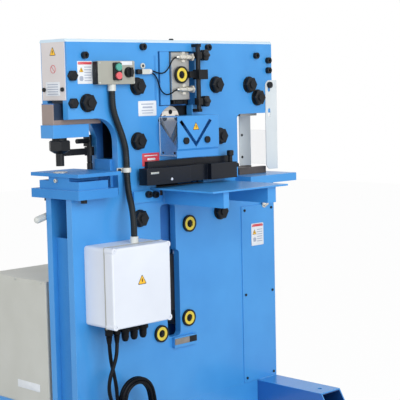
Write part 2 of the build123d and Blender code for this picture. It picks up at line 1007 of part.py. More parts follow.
cylinder_x, cylinder_z = pin_places[0]
low_bar_z = share_range(low_bar_z_shares, frame_z)
barrel_z = (cylinder_z + barrel_rise, low_bar_z[0] - yoke_travel - barrel_clearance)


def cylinder_barrel():
    """Barrel with its head, and the eye on the lower pin."""
    low, high = barrel_z
    tube = rod_z(barrel_radius, cylinder_x, 0, (low, high))
    tube -= rod_z(barrel_bore, cylinder_x, 0, (low + barrel_head / 2, high - barrel_head))
    tube -= rod_z(rod_radius + running_gap, cylinder_x, 0, (high - barrel_head, high))
    eye = rod_y(eye_radius, cylinder_x, (-eye_width / 2, eye_width / 2), cylinder_z)
    neck = span(
        (cylinder_x - barrel_bore / 2, cylinder_x + barrel_bore / 2),
        (-eye_width / 2, eye_width / 2),
        (cylinder_z, low),
    )
    hole = rod_y(pin_radius + seat_gap, cylinder_x, (-eye_width, eye_width), cylinder_z)
    return tube + eye + neck - hole


def piston_rod():
    """Rod and piston, hung from the yoke's lower bar."""
    foot = barrel_z[0] + piston_lift
    rod = rod_z(rod_radius, cylinder_x, 0, (foot, low_bar_z[0]))
    return rod + rod_z(barrel_bore - running_gap, cylinder_x, 0, (foot, foot + piston_height))


def angle_blade():
    """Moving angle blade: round shoulders above, a point below."""
    half = blade_width / 2
    shoulder = frame_z(blade_shoulder_share)
    crown = ThreePointArc(
        (vee_x - half, shoulder), (vee_x, frame_z(blade_top_share)), (vee_x + half, shoulder)
    )
    lower = Polyline((vee_x + half, shoulder), (vee_x, frame_z(blade_point_share)), (vee_x - half, shoulder))
    face = make_face([crown, lower])
    return upright(face, yoke_front - blade_thickness, yoke_front)


def blade_bolts():
    """Flush bolts in the angle blade."""
    face = yoke_front - blade_thickness
    crown = frame_z(blade_top_share)
    shoulder = frame_z(blade_shoulder_share)
    offset = blade_width / 3
    places = ((vee_x, (crown + shoulder) / 2), (vee_x - offset, shoulder), (vee_x + offset, shoulder))
    return [rod_y(blade_bolt_radius, x, (face - blade_bolt_height, face), z) for x, z in places]


def fixed_angle_blade():
    """Fixed blade: the lower part of the angle hole with a vee cut into it."""
    reach = 2 * angle_hole_radius
    slope = math.radians(vee_half_angle)
    half = reach * math.tan(slope)
    vee = outline(((vee_x, vee_z), (vee_x + half, vee_z + reach), (vee_x - half, vee_z + reach)))
    disc = Pos(*angle_hole) * Circle(angle_hole_radius - seat_gap)
    y_far = yoke_front - blade_thickness - blade_bolt_height - fixed_blade_gap
    body = upright(disc - vee, front + fixed_blade_inset, y_far)
    lowest = body.solids().sort_by(Axis.Z)[0]
    return lowest


guard_left = frame_x(angle_guard_left_share)
guard_z = share_range(angle_guard_z_shares, frame_z)


def vee_slot():
    """The vee-shaped slot that an angle bar passes through."""
    slope = math.radians(vee_half_angle)
    rise = vee_slot_leg * math.cos(slope)
    run = vee_slot_leg * math.sin(slope)
    thick = vee_slot_width / math.sin(slope)
    middle = guard_left + angle_guard_width / 2 - vee_slot_width
    low = vee_z
    return outline(
        (
            (middle, low),
            (middle + run, low + rise),
            (middle + run - vee_slot_width, low + rise + vee_slot_width / 2),
            (middle, low + thick),
            (middle - run + vee_slot_width, low + rise + vee_slot_width / 2),
            (middle - run, low + rise),
        )
    )


def angle_guard():
    """Folded sheet guard: front with the vee slot and a stepped foot, top and right side."""
    face = front - angle_guard_depth
    sheet = angle_guard_sheet
    right_x = guard_left + angle_guard_width
    step_z = guard_z[0] + angle_guard_step
    side = outline(
        (
            (face, step_z + angle_guard_setback),
            (face, guard_z[1]),
            (front, guard_z[1]),
            (front, guard_z[1] - sheet),
            (face + sheet, guard_z[1] - sheet),
            (face + sheet, step_z + angle_guard_setback + sheet),
            (face + angle_guard_setback + sheet, step_z),
            (face + angle_guard_setback + sheet, guard_z[0]),
            (face + angle_guard_setback, guard_z[0]),
            (face + angle_guard_setback, step_z - sheet / 2),
        )
    )
    plane = Plane(origin=(guard_left, 0, 0), x_dir=(0, 1, 0), z_dir=(1, 0, 0))
    body = extrude(plane * side, angle_guard_width)
    cheek_y = (face + angle_guard_setback + sheet, front)
    body += span((right_x - sheet, right_x), cheek_y, guard_z)
    return body - upright(vee_slot(), face - overrun, face + sheet + overrun)


def angle_guard_bolts():
    """Two bolts beside the vee slot."""
    face = front - angle_guard_depth
    middle = guard_left + angle_guard_width / 2 - vee_slot_width
    z = frame_z(guard_bolt_z_share)
    places = (middle - guard_bolt_spacing / 2, middle + guard_bolt_spacing / 2)
    return [rod_y(guard_bolt_radius, x, (face - guard_bolt_height, face), z) for x in places]


def angle_guard_window():
    """Clear panel on the guard's left side."""
    y_low = front - angle_guard_depth + angle_guard_setback + angle_guard_sheet
    z_range = (guard_z[0] + guard_window_margin, guard_z[1] - angle_guard_sheet)
    return span((guard_left, guard_left + guard_window_sheet), (y_low, front), z_range)


table_z = frame_z(table_top_share)
table_left = frame_x(table_left_share)
tool_table_left = right - tool_throat_depth - tool_table_lap
table_right = tool_table_left - table_end_gap


def shear_table():
    """Thin work table in front of the flat shear."""
    return span((table_left, table_right), (front - table_reach, front), (table_z - table_thickness, table_z))


def table_arm(x_low, width):
    """Hollow arm under the table, fixed to the front plate."""
    x_range = (x_low, x_low + width)
    z_high = table_z - table_thickness
    z_range = (z_high - arm_height, z_high)
    arm = span(x_range, (front - arm_reach, front), z_range)
    hollow = span(
        (x_range[0] + arm_wall, x_range[1] - arm_wall),
        (front - arm_reach + arm_wall, front + overrun),
        (z_range[0] + arm_wall, z_range[1] - arm_wall),
    )
    return arm - hollow


def table_arms():
    """The two arms that carry the table."""
    return [
        table_arm(table_left + left_arm_offset, left_arm_width),
        table_arm(table_right - right_arm_inset - right_arm_width, right_arm_width),
    ]


flat_edge = flat_slot_z[0] + lower_blade_height


def flat_blade():
    """Moving flat blade on the yoke's middle bar, its edge raked."""
    x_range = (flat_slot_x[0] + flat_blade_margin, flat_slot_x[1] - flat_blade_margin)
    low = flat_edge + yoke_travel - flat_blade_overlap
    high = low + flat_blade_height
    face = outline(
        ((x_range[0], low), (x_range[1], low + flat_blade_rake), (x_range[1], high), (x_range[0], high))
    )
    return upright(face, yoke_front - blade_thickness, yoke_front)


def lower_flat_blade():
    """Fixed flat blade in the bottom of the front plate's slot."""
    y_far = yoke_front - blade_thickness - fixed_blade_gap
    return span(flat_slot_x, (front + fixed_blade_inset, y_far), (flat_slot_z[0], flat_edge))


hold_x = (frame_x(hold_left_share), frame_x(hold_right_share))
hold_y = (front - hold_gap - hold_depth, front - hold_gap)
hold_z = frame_z(hold_bottom_share)


def hold_down():
    """Black hold-down bar over the flat shear, with its backing against the plate."""
    bar = span(hold_x, hold_y, (hold_z, hold_z + hold_height))
    recess_x = share_range(hold_recess_shares, frame_x)
    bar -= span(recess_x, (hold_y[0], hold_y[0] + hold_recess_depth), (hold_z, hold_z + hold_height))
    backing_x = (hold_x[0] + hold_depth, hold_x[1])
    return bar + span(backing_x, (hold_y[1], front), (hold_z, hold_z + hold_back_height))


def hold_screw():
    """Adjusting screw with a knob at the right end of the hold-down."""
    x = frame_x(hold_screw_share)
    y = (hold_y[0] + hold_y[1]) / 2
    z = hold_z + hold_height + seat_gap
    stem = rod_z(hold_screw_radius, x, y, (z, z + hold_screw_rise))
    knob = rod_z(hold_knob_radius, x, y, (z + hold_screw_rise, z + hold_screw_rise + hold_knob_height))
    return stem + chamfer(knob.edges(), hold_knob_radius / 6)


def hold_bolt():
    """Bolt at the right end of the hold-down."""
    y = (hold_y[0] + hold_y[1]) / 2
    z = hold_z + hold_height * 3 / 4
    return rod_x(hold_bolt_radius, (hold_x[1], hold_x[1] + hold_bolt_length), y, z)


tool_table_x = (tool_table_left, tool_table_left + tool_table_length)
tool_table_z = tool_jaw_z + tool_table_thickness


def tool_table():
    """Thick table on the lower jaw of the right throat, notched round the plates."""
    y_range = (-tool_table_depth / 2, tool_table_depth / 2)
    slab = span(tool_table_x, y_range, (tool_jaw_z, tool_table_z))
    notch_x = (tool_table_x[0] - overrun, right - tool_throat_depth)
    return slab - span(notch_x, (front, back), (tool_jaw_z, tool_table_z))


def tool_die():
    """Die block on the tool table, open at its right end."""
    middle = sum(share_range(tool_end_shares, frame_x)) / 2
    x_range = (middle - tool_die_length / 2, middle + tool_die_length / 2)
    y_range = (-tool_die_depth / 2, tool_die_depth / 2)
    block = span(x_range, y_range, (tool_table_z, tool_table_z + tool_die_height))
    notch_x = (middle, x_range[1] + overrun)
    notch_y = (-tool_die_notch / 2, tool_die_notch / 2)
    return block - span(notch_x, notch_y, (tool_table_z, tool_table_z + tool_die_height + overrun))


guard_x = (frame_x(tool_guard_left_share), right + tool_guard_right)
guard_low = frame_z(tool_guard_bottom_share)


def guard_flange(z_top, y_range):
    """One upright flange of the tool guard, rounded at its inner top corner."""
    face = rectangle(guard_x, (guard_low, z_top))
    corner = face.vertices().group_by(Axis.X)[0]
    return upright(fillet(corner, tool_guard_radius), *y_range)


def guard_slot_x():
    """X of the slot that the guard slides on."""
    return (guard_x[0] + right) / 2


def tool_guard():
    """Front flange of the guard, slotted so that it can be raised."""
    y_range = (front - seat_gap - tool_guard_sheet, front - seat_gap)
    flange = guard_flange(frame_z(tool_guard_top_share), y_range)
    slot = Rot(0, 0, 90) * SlotCenterToCenter(tool_guard_travel, tool_guard_slot_width)
    for share in (tool_guard_screw_share, tool_guard_low_slot_share):
        cut = Pos(guard_slot_x(), frame_z(share) - tool_guard_travel / 2) * slot
        flange -= upright(cut, y_range[0] - overrun, y_range[1] + overrun)
    return flange


def tool_guard_rear():
    """Rear flange of the guard."""
    y_range = (back + seat_gap, back + seat_gap + tool_guard_sheet)
    return guard_flange(frame_z(tool_guard_rear_top_share), y_range)


def tool_guard_window():
    """Clear end panel between the two flanges."""
    z_range = (guard_low + tool_window_lap, frame_z(tool_window_top_share))
    x_range = (guard_x[1] - tool_window_sheet, guard_x[1])
    return span(x_range, (front - seat_gap, back + seat_gap), z_range)


def tool_guard_screw():
    """Screw through the guard's slot into the front plate."""
    x = guard_slot_x()
    z = frame_z(tool_guard_screw_share)
    seat = front - tool_guard_sheet - 2 * seat_gap
    head = rod_y(tool_guard_screw_radius, x, (seat - tool_guard_screw_height, seat), z)
    stem_radius = tool_guard_slot_width / 2 - seat_gap
    return head + rod_y(stem_radius, x, (seat, front), z)


def punch_holder():
    """Blue holder block under the yoke's toe."""
    x_range = (left - holder_left, left + holder_right)
    y_range = (-holder_width / 2, holder_width / 2)
    return span(x_range, y_range, (throat_level(holder_share), toe_z))


coupling_top = throat_level(collar_share)
coupling_low = throat_level(coupling_share)


def punch_collar():
    """Collar between holder and coupling nut."""
    return rod_z(collar_radius, punch_x, 0, (coupling_top, throat_level(holder_share)))


def coupling_nut():
    """Hexagon coupling nut, turned down to a nose."""
    prism = extrude(Pos(punch_x, 0, coupling_low) * RegularPolygon(coupling_radius, 6), coupling_top - coupling_low)
    profile_points = (
        (0, coupling_low),
        (coupling_nose_radius, coupling_low),
        (coupling_radius, coupling_low + coupling_taper),
        (coupling_radius, coupling_top - coupling_chamfer / 2),
        (coupling_radius - coupling_chamfer, coupling_top),
        (0, coupling_top),
    )
    plane = Plane(origin=(punch_x, 0, 0), x_dir=(1, 0, 0), z_dir=(0, -1, 0))
    turned = revolve(plane * outline(profile_points), Axis((punch_x, 0, 0), (0, 0, 1)))
    return prism & turned


def punch():
    """Round punch under the coupling nut."""
    return rod_z(punch_radius, punch_x, 0, (throat_level(punch_share), coupling_low))


die_base_z = throat_level(die_base_share)
die_block_z = throat_level(die_block_share)
die_step_z = throat_level(die_step_share)
die_top_z = throat_level(die_top_share)
die_proud_z = throat_level(die_proud_share)
die_left = left - die_base_left


def die_base():
    """Thick base plate on the lower jaw of the punch throat."""
    y_range = (-die_base_depth / 2, die_base_depth / 2)
    return span((die_left, die_left + die_base_length), y_range, (jaw_z, die_base_z))


def die_hole(z_range):
    """Clearance for slugs under the die."""
    return rod_z(die_bore + running_gap, punch_x, 0, z_range)


def die_block():
    """Stepped block that carries the top plate."""
    x_low = die_left + die_block_inset
    x_range = (x_low, x_low + die_block_length)
    y_range = (-die_base_depth / 2 + die_block_inset, -die_base_depth / 2 + die_block_inset + die_block_depth)
    block = span(x_range, y_range, (die_base_z, die_block_z))
    step_y = (y_range[0] + die_step_inset, y_range[1] - die_step_inset)
    block += span(x_range, step_y, (die_block_z, die_step_z))
    return block - die_hole((die_base_z - overrun, die_step_z + overrun))


def die_table():
    """Top plate of the punch table, bored for the die."""
    y_range = (-die_base_depth / 2, die_base_depth / 2)
    plate = span((die_left, die_left + die_top_length), y_range, (die_step_z, die_top_z))
    return plate - rod_z(die_radius + seat_gap, punch_x, 0, (die_step_z - overrun, die_top_z + overrun))


def die():
    """Round die in the top plate."""
    body = rod_z(die_radius, punch_x, 0, (die_step_z, die_proud_z))
    return body - rod_z(die_bore, punch_x, 0, (die_step_z - overrun, die_proud_z + overrun))


def table_bolts():
    """Bolt heads under the overhanging ends of the base plate."""
    bolts = []
    for y in (-die_base_depth / 2 + table_bolt_inset, die_base_depth / 2 - table_bolt_inset):
        bolts.append(rod_z(table_bolt_radius, left + table_bolt_inset, y, (jaw_z - table_bolt_height, jaw_z)))
    return bolts


post_x = left + throat_depth - post_radius - post_mount_reach / 2
post_y = back - post_radius - stripper_depth / 4
post_z = (throat_level(post_top_share) - post_height, throat_level(post_top_share))
hub_z = (throat_level(hub_share), throat_level(hub_share) + hub_height)


def stripper_post():
    """Upright post on a bracket behind the rear plate, with a short stop rod."""
    half = post_radius
    mount_z = (post_z[1] - post_mount_height, post_z[1])
    flange_y = (back, back + post_flange_thickness)
    flange_x = (post_x - half, left + throat_depth + post_flange_lap)
    stop_z = post_z[1] - stop_rod_drop
    body = rod_z(post_radius, post_x, post_y, post_z)
    body += span((post_x - half, post_x + half), (post_y, flange_y[1]), mount_z)
    body += span(flange_x, flange_y, mount_z)
    return body + rod_x(stop_rod_radius, (post_x - half - stop_rod_length, post_x), post_y, stop_z)


def stripper_arm():
    """Arm that swings on the post, behind the coupling nut."""
    hub = rod_z(hub_radius, post_x, post_y, hub_z)
    middle = (hub_z[0] + hub_z[1]) / 2
    z_range = (middle - stripper_height / 2, middle + stripper_height / 2)
    y_range = (post_y - stripper_depth / 2, post_y + stripper_depth / 2)
    arm = span((post_x - stripper_length, post_x), y_range, z_range)
    bore = rod_z(post_radius + running_gap, post_x, post_y, (hub_z[0] - overrun, hub_z[1] + overrun))
    return hub + arm - bore


def stripper_knob():
    """Clamp knob on the foot of the post."""
    knob = rod_z(wing_radius, post_x, post_y, (post_z[0] - wing_height, post_z[0]))
    return fillet(knob.edges(), wing_radius / 2)


box_x = share_range(button_box_x_shares, frame_x)
box_z = share_range(button_box_z_shares, frame_z)
box_face = front - button_box_depth
bezel_x = frame_x(bezel_x_share)
bezel_z = frame_z(bezel_z_share)
bezel_face = box_face - bezel_depth
button_pitch = bezel_height / 2 - button_gap


def button_box():
    """Small control box with rounded corners."""
    box = span(box_x, (box_face, front), box_z)
    box = fillet(box.edges().filter_by(Axis.Y), button_box_radius)
    return fillet(box.faces().sort_by(Axis.Y)[0].edges(), button_box_radius / 2)


def button_bezel():
    """Bezel of the double push button, with two wells."""
    bezel = span(
        (bezel_x - bezel_width / 2, bezel_x + bezel_width / 2),
        (bezel_face, box_face),
        (bezel_z - bezel_height / 2, bezel_z + bezel_height / 2),
    )
    bezel = fillet(bezel.edges().filter_by(Axis.Y), button_box_radius)
    for z in (bezel_z - button_pitch / 2, bezel_z + button_pitch / 2):
        bezel -= rod_y(button_radius + button_gap, bezel_x, (bezel_face, box_face), z)
    return bezel


def push_button(z):
    """Round button that travels in its well."""
    floor = box_face - button_travel - button_gap
    button = rod_y(button_radius, bezel_x, (bezel_face - button_proud, floor), z)
    rim = button.edges().filter_by(GeomType.CIRCLE).sort_by(Axis.Y)[0]
    return fillet(rim, button_gap)


selector_x = frame_x(selector_x_share)
selector_z = frame_z(selector_z_share)


def selector_base():
    """Ring of the rotary selector."""
    ring = Circle(selector_base_radius) - Circle(selector_stem_radius + running_gap)
    return upright(Pos(selector_x, selector_z) * ring, box_face - selector_base_height, box_face)


def selector_knob():
    """Selector knob with a raised grip."""
    seat = box_face - selector_base_height - seat_gap
    half = selector_knob_height / 2
    disc = rod_y(selector_knob_radius, selector_x, (seat - half, seat), selector_z)
    stem = rod_y(selector_stem_radius, selector_x, (seat, box_face - seat_gap), selector_z)
    bar = rectangle(
        (selector_x - selector_grip / 2, selector_x + selector_grip / 2),
        (selector_z - selector_knob_radius, selector_z + selector_knob_radius),
    )
    disc_face = Pos(selector_x, selector_z) * Circle(selector_knob_radius)
    return disc + stem + upright(bar & disc_face, seat - selector_knob_height, seat - half)


electric_x = share_range(electric_x_shares, frame_x)
electric_z = share_range(electric_z_shares, frame_z)
electric_face = front - electric_depth
lid_seam = electric_face + electric_lid_depth
gland_y = front - gland_offset


def rounded_case(y_range):
    """A block of the electrical box's outline with rounded upright corners."""
    face = rectangle(electric_x, electric_z)
    return upright(fillet(face.vertices(), electric_radius), *y_range)


def electric_box():
    """Hollow body of the electrical box."""
    wall = electric_wall
    inner_x = (electric_x[0] + wall, electric_x[1] - wall)
    inner_z = (electric_z[0] + wall, electric_z[1] - wall)
    return rounded_case((lid_seam, front)) - span(inner_x, (lid_seam - overrun, front - wall), inner_z)


def electric_lid():
    """Lid with rounded rim and four screw bosses."""
    lid = rounded_case((electric_face, lid_seam))
    lid = fillet(lid.faces().sort_by(Axis.Y)[0].edges(), electric_radius / 2)
    wall = electric_wall
    inner_x = (electric_x[0] + wall, electric_x[1] - wall)
    inner_z = (electric_z[0] + wall, electric_z[1] - wall)
    lid -= span(inner_x, (electric_face + wall, lid_seam + overrun), inner_z)
    for x, z in lid_corners():
        lid += rod_y(lid_boss_radius, x, (electric_face, lid_seam), z)
        lid -= rod_y(lid_screw_radius, x, (electric_face - overrun, electric_face + lid_screw_depth), z)
    return lid


def lid_corners():
    """Middles of the four lid screws."""
    inset = lid_boss_inset
    xs = (electric_x[0] + inset, electric_x[1] - inset)
    zs = (electric_z[0] + inset, electric_z[1] - inset)
    return [(x, z) for x in xs for z in zs]


def cable_gland(x):
    """Black gland under the electrical box: hexagon above, dome below."""
    z = electric_z[0]
    nut = extrude(Pos(x, gland_y, z - gland_nut_height) * RegularPolygon(gland_radius, 6), gland_nut_height)
    dome_z = (z - gland_nut_height - gland_dome_height, z - gland_nut_height)
    dome = rod_z(gland_radius * 5 / 6, x, gland_y, dome_z)
    return nut + chamfer(dome.edges().filter_by(GeomType.CIRCLE).sort_by(Axis.Z)[0], gland_radius / 3)


# Conduit from the button box to the electrical box
box_gland_x = frame_x(box_gland_x_share)
box_gland_y = front - button_box_depth / 2
electric_gland_x = frame_x(electric_gland_x_share)
clip_z = frame_z(clip_z_share)


def cord_radii(points):
    """The largest arc that each corner of a cord's route has room for."""
    radii = []
    for before, here, after in zip(points, points[1:], points[2:]):
        run_in = Vector(*here) - Vector(*before)
        run_out = Vector(*after) - Vector(*here)
        half_turn = math.radians(run_in.get_angle(run_out)) / 2
        radii.append(arc_share * min(run_in.length, run_out.length) / math.tan(half_turn))
    return radii


def cord_tube(name, points, radius):
    """A tube of straight runs and tangent arcs along a route."""
    radii = cord_radii(points)
    path = FilletPolyline(*points, radius=radii)
    start = Vector(*points[1]) - Vector(*points[0])
    section = Plane(origin=points[0], z_dir=start) * Circle(radius)
    tube = sweep(section, path=path)
    ratio = tube.volume / (math.pi * radius**2 * path.length)
    print(name, "length", round(path.length), "ratio", round(ratio, 3), "radii", [round(r) for r in radii])
    return tube


def box_gland():
    """Pale gland under the button box."""
    z_range = (box_z[0] - conduit_gland_height, box_z[0])
    return rod_z(conduit_gland_radius, box_gland_x, box_gland_y, z_range)


def electric_gland():
    """Pale gland on top of the electrical box."""
    z_range = (electric_z[1], electric_z[1] + conduit_gland_height)
    return rod_z(conduit_gland_radius, electric_gland_x, gland_y, z_range)


def conduit():
    """Corrugated conduit, held by both glands and the clip."""
    upper_z = box_z[0] - conduit_gland_height
    lower_z = electric_z[1] + conduit_gland_height
    upper = [(box_gland_x, box_gland_y, z) for z in (upper_z, upper_z - conduit_upper_lead)]
    lower = [(electric_gland_x, gland_y, z) for z in (lower_z + conduit_lower_lead, lower_z)]
    return cord_tube("conduit", upper + conduit_route + lower, conduit_radius)


def conduit_clip():
    """Clip that holds the conduit to the plate."""
    x, y = clip_point[:2]
    z_range = (clip_z - clip_width / 2, clip_z + clip_width / 2)
    reach = conduit_radius + seat_gap
    loop = rod_z(reach + clip_sheet, x, y, z_range)
    loop += span((x - reach - clip_tab, x), (front - clip_sheet, front), z_range)
    loop -= rod_z(reach, x, y, (z_range[0] - overrun, z_range[1] + overrun))
    return loop - span((x - frame_depth, x + frame_depth), (front, back), z_range)


def clip_screw():
    """Screw of the conduit clip."""
    x = clip_point[0] - conduit_radius - clip_tab / 2 - clip_sheet
    return rod_y(clip_screw_radius, x, (front - clip_sheet - clip_screw_height, front - clip_sheet), clip_z)


def cable_clamp():
    """Clamp where the sensor cables meet the plate."""
    x, z = at_shares(cable_clamp_shares)
    x_range = (x - cable_clamp_length / 2, x + cable_clamp_length / 2)
    z_range = (z - cable_clamp_height / 2, z + cable_clamp_height / 2)
    return span(x_range, (front - cable_clamp_depth, front), z_range)


def sensor_cable(name, place, route, share):
    """Lead from the tail of a sensor to the right end of the clamp."""
    clamp_x, clamp_z = at_shares(cable_clamp_shares)
    x = clamp_x + cable_clamp_length / 2
    y = front - cable_clamp_depth / 2
    z = clamp_z + share * cable_clamp_height
    tail_y = ram_face - sensor_radius - seat_gap
    tail = [(tail_x, tail_y, place[2]) for tail_x in (place[0], place[0] - sensor_cable_lead)]
    end = [(end_x, y, z) for end_x in (x + sensor_cable_lead, x)]
    return cord_tube(name, tail + route + end, sensor_cable_radius)


def grommet():
    """White grommet above the clamp."""
    x, z = at_shares(grommet_shares)
    ring = Circle(grommet_radius) - Circle(grommet_bore)
    return upright(Pos(x, z) * ring, front - grommet_height, front)


unit_x = (left + unit_left_inset, left + unit_left_inset + unit_width)
unit_y = (back + unit_gap, back + unit_gap + unit_depth)
unit_floor = base + unit_base_height
unit_top = unit_floor + unit_height


def unit_base():
    """Base tray of the power unit, on both feet."""
    x_range = (left, right)
    return span(x_range, (back, back + unit_base_depth), (base, unit_floor))


def unit_cabinet():
    """Open-topped sheet cabinet."""
    box = span(unit_x, unit_y, (unit_floor, unit_top))
    box = fillet(box.edges().filter_by(Axis.Z), unit_corner_radius)
    inner_x = (unit_x[0] + unit_wall, unit_x[1] - unit_wall)
    inner_y = (unit_y[0] + unit_wall, unit_y[1] - unit_wall)
    return box - span(inner_x, inner_y, (unit_floor + unit_wall, unit_top + overrun))


def unit_lid():
    """Lid of the cabinet."""
    lid = span(unit_x, unit_y, (unit_top, unit_top + unit_lid_height))
    lid = fillet(lid.edges().filter_by(Axis.Z), unit_corner_radius)
    return fillet(lid.faces().sort_by(Axis.Z)[-1].edges(), unit_corner_radius / 2)


def oil_tank():
    """Oil tank in the bottom of the cabinet."""
    x_range = (unit_x[0] + tank_margin, unit_x[1] - tank_margin)
    y_range = (unit_y[0] + tank_margin, unit_y[1] - tank_margin)
    low = unit_floor + unit_wall
    return span(x_range, y_range, (low, low + tank_height))


tank_top = unit_floor + unit_wall + tank_height
motor_x = (unit_x[0] + 2 * tank_margin, unit_x[0] + 2 * tank_margin + motor_length)
motor_y = sum(unit_y) / 2
motor_z = tank_top + motor_foot_height + motor_radius


def pump_motor():
    """Electric motor on the tank."""
    body = rod_x(motor_radius, motor_x, motor_y, motor_z)
    rest_y = (motor_y - motor_radius, motor_y + motor_radius)
    rest_x = (motor_x[0] + motor_length / 4, motor_x[1] - motor_length / 4)
    return body + span(rest_x, rest_y, (tank_top, motor_z))


def pump():
    """Gear pump on the motor's end."""
    return rod_x(pump_radius, (motor_x[1], motor_x[1] + pump_length), motor_y, motor_z)


def valve_block():
    """Valve block on the tank."""
    x = motor_x[1] + pump_length + tank_margin
    half = valve_size / 2
    return span((x, x + valve_size), (motor_y - half, motor_y + half), (tank_top, tank_top + valve_size))


lever_x, lever_z = at_shares(lever_shares)


def lever_pivot():
    """Pivot stud of the rear lever."""
    return rod_y(lever_hub_radius / 2, lever_x, (back, back + lever_hub_length + lever_radius), lever_z)


def rear_lever():
    """Round lever behind the column, hung from its pivot."""
    y = back + lever_hub_length / 2 + seat_gap
    hub = rod_y(lever_hub_radius, 0, (y - lever_hub_length / 2, y + lever_hub_length / 2), 0)
    arm = rod_x(lever_radius, (-lever_length, 0), y, 0)
    tip = Pos(-lever_length, y, 0) * Sphere(lever_radius)
    body = hub + arm + tip
    body -= rod_y(lever_hub_radius / 2 + running_gap, 0, (y - lever_hub_length, y + lever_hub_length), 0)
    return Pos(lever_x, 0, lever_z) * Rot(0, -lever_droop, 0) * body


def cable_coil():
    """Outer shape of the coiled cables, an upright oval that stands on the floor."""
    place = (Align.CENTER, Align.MIN, Align.CENTER)
    ring = Torus(coil_half_width, coil_tube_radius, major_angle=180, align=place)
    body = Pos(0, 0, coil_half_run) * Rot(90, 0, 0) * ring
    body += Pos(0, 0, -coil_half_run) * Rot(-90, 0, 0) * ring
    for x in (-coil_half_width, coil_half_width):
        body += rod_z(coil_tube_radius, x, 0, (-coil_half_run, coil_half_run))
    rise = coil_half_run * math.cos(math.radians(coil_tilt)) + coil_half_width + coil_tube_radius
    return Pos(coil_x, coil_y, rise) * Rot(0, -coil_tilt, 0) * body


def cable_end(tail, radius, length, grip_radius, grip_length):
    """Plug or connector on the end of a cable's tail, its grip first."""
    x, y, z = tail[-1]
    grip = rod_x(grip_radius, (x, x + grip_length), y, z)
    return grip + Pos(0, 0, radius - z) * rod_x(radius, (x + grip_length, x + length), y, z)


start_z = bezel_z + button_pitch / 2
stop_z = bezel_z - button_pitch / 2
upper_dog_z, lower_dog_z = share_range(dog_z_shares, frame_z)
gland_places = [frame_x(share) for share in spare_gland_x_shares]
gland_places += [pedal_cable_route[0][0], mains_cable_route[0][0]]
upper_sensor, lower_sensor = sensor_places()
anchor_middle = sum(anchor_y) / 2

nodes = {
    "front_side_plate": [front_side_plate()],
    "rear_side_plate": [rear_side_plate()],
    "frame_webs": [column_web(), throat_web(), right_web()],
    "foot_beams": [foot_beam(left), foot_beam(right - foot_width)],
    "top_cover": [top_cover()],
    "punch_end_cover": [end_cover()],
    "front_panels": [access_panel(), ledge_bar(), shear_bracket()],
    "tie_bolts": tie_bolts() + tie_washers() + tie_nuts() + pivot_pins() + [lever_pivot()],
    "small_screws": cap_screws(cap_screw_shares, front)
    + cap_screws(bracket_screw_shares, front - bracket_depth) + end_screws() + panel_screws() + guide_bolts() + angle_guard_bolts()
    + table_bolts() + [top_bolt(), clip_screw(), hold_bolt(), tool_guard_screw()],
    "grease_bezels": [grease_bezel(x, z, front) for x, z in pin_places]
    + [grease_nipple(x, z, front) for x, z in pin_places],
    "grease_rings": [grease_ring(x, z, front) for x, z in pin_places],
    "guide_gibs": [window_gib()] + side_gibs(),
    "stroke_rod": [stroke_rod()] + rod_lugs(),
    "cylinder_barrel": [cylinder_barrel()],
    "fixed_blades": [fixed_angle_blade(), lower_flat_blade()],
    "angle_guard": [angle_guard()],
    "angle_guard_window": [angle_guard_window()],
    "shear_table": [shear_table()],
    "table_arms": table_arms(),
    "hold_down": [hold_down()],
    "tool_table": [tool_table()],
    "tool_die": [tool_die()],
    "die_base": [die_base(), die_block()],
    "die_table": [die_table()],
    "punch_die": [die()],
    "stripper_post": [stripper_post(), stripper_knob()],
    "button_box": [button_box()],
    "button_bezels": [button_bezel(), selector_base()],
    "electric_box": [electric_box(), electric_lid()],
    "conduit": [conduit()],
    "conduit_fittings": [box_gland(), electric_gland(), conduit_clip(), grommet(), cable_clamp()],
    "cable_glands": [cable_gland(x) for x in gland_places],
    "power_unit_base": [unit_base()],
    "power_unit_cabinet": [unit_cabinet(), unit_lid()],
    "power_pack": [oil_tank(), pump_motor(), pump(), valve_block()],
    "pedal_cable": [
        cord_tube("pedal_cable", pedal_cable_route, cable_radius),
        cord_tube("pedal_tail", pedal_tail_route, cable_radius),
    ],
    "mains_cable": [
        cord_tube("mains_cable", mains_cable_route, cable_radius),
        cord_tube("mains_tail", mains_tail_route, cable_radius),
    ],
    "cable_coil": [
        cable_coil(),
        cable_end(mains_tail_route, plug_radius, plug_length, plug_grip_radius, plug_grip_length),
        cable_end(
            pedal_tail_route, connector_radius, connector_length, connector_grip_radius, connector_grip_length
        ),
    ],
    "upper_sensor_cable": [
        sensor_cable("upper_sensor_cable", upper_sensor, upper_sensor_route, cable_entry_shares[0])
    ],
    "lower_sensor_cable": [
        sensor_cable("lower_sensor_cable", lower_sensor, lower_sensor_route, cable_entry_shares[1])
    ],
    "yoke": [yoke()],
    "yoke_blocks": [ram_block(), tool_pad()],
    "ram_pin_cap": [grease_bezel(*ram_pin, ram_face), grease_nipple(*ram_pin, ram_face)],
    "ram_pin_ring": [grease_ring(*ram_pin, ram_face)],
    "stroke_sensors": stroke_sensors() + sensor_clips(),
    "follower": [follower()],
    "piston_rod": [piston_rod()],
    "moving_blades": [angle_blade(), flat_blade()] + blade_bolts(),
    "punch_holder": [punch_holder()],
    "punch_set": [punch_collar(), coupling_nut(), punch()],
    "upper_dog": [stroke_dog(upper_dog_z)],
    "lower_dog": [stroke_dog(lower_dog_z)],
    "hold_screw": [hold_screw()],
    "stripper_arm": [stripper_arm()],
    "start_button": [push_button(start_z)],
    "stop_button": [push_button(stop_z)],
    "selector_knob": [selector_knob()],
    "tool_guard": [tool_guard(), tool_guard_rear()],
    "tool_guard_window": [tool_guard_window()],
    "rear_lever": [rear_lever()],
}

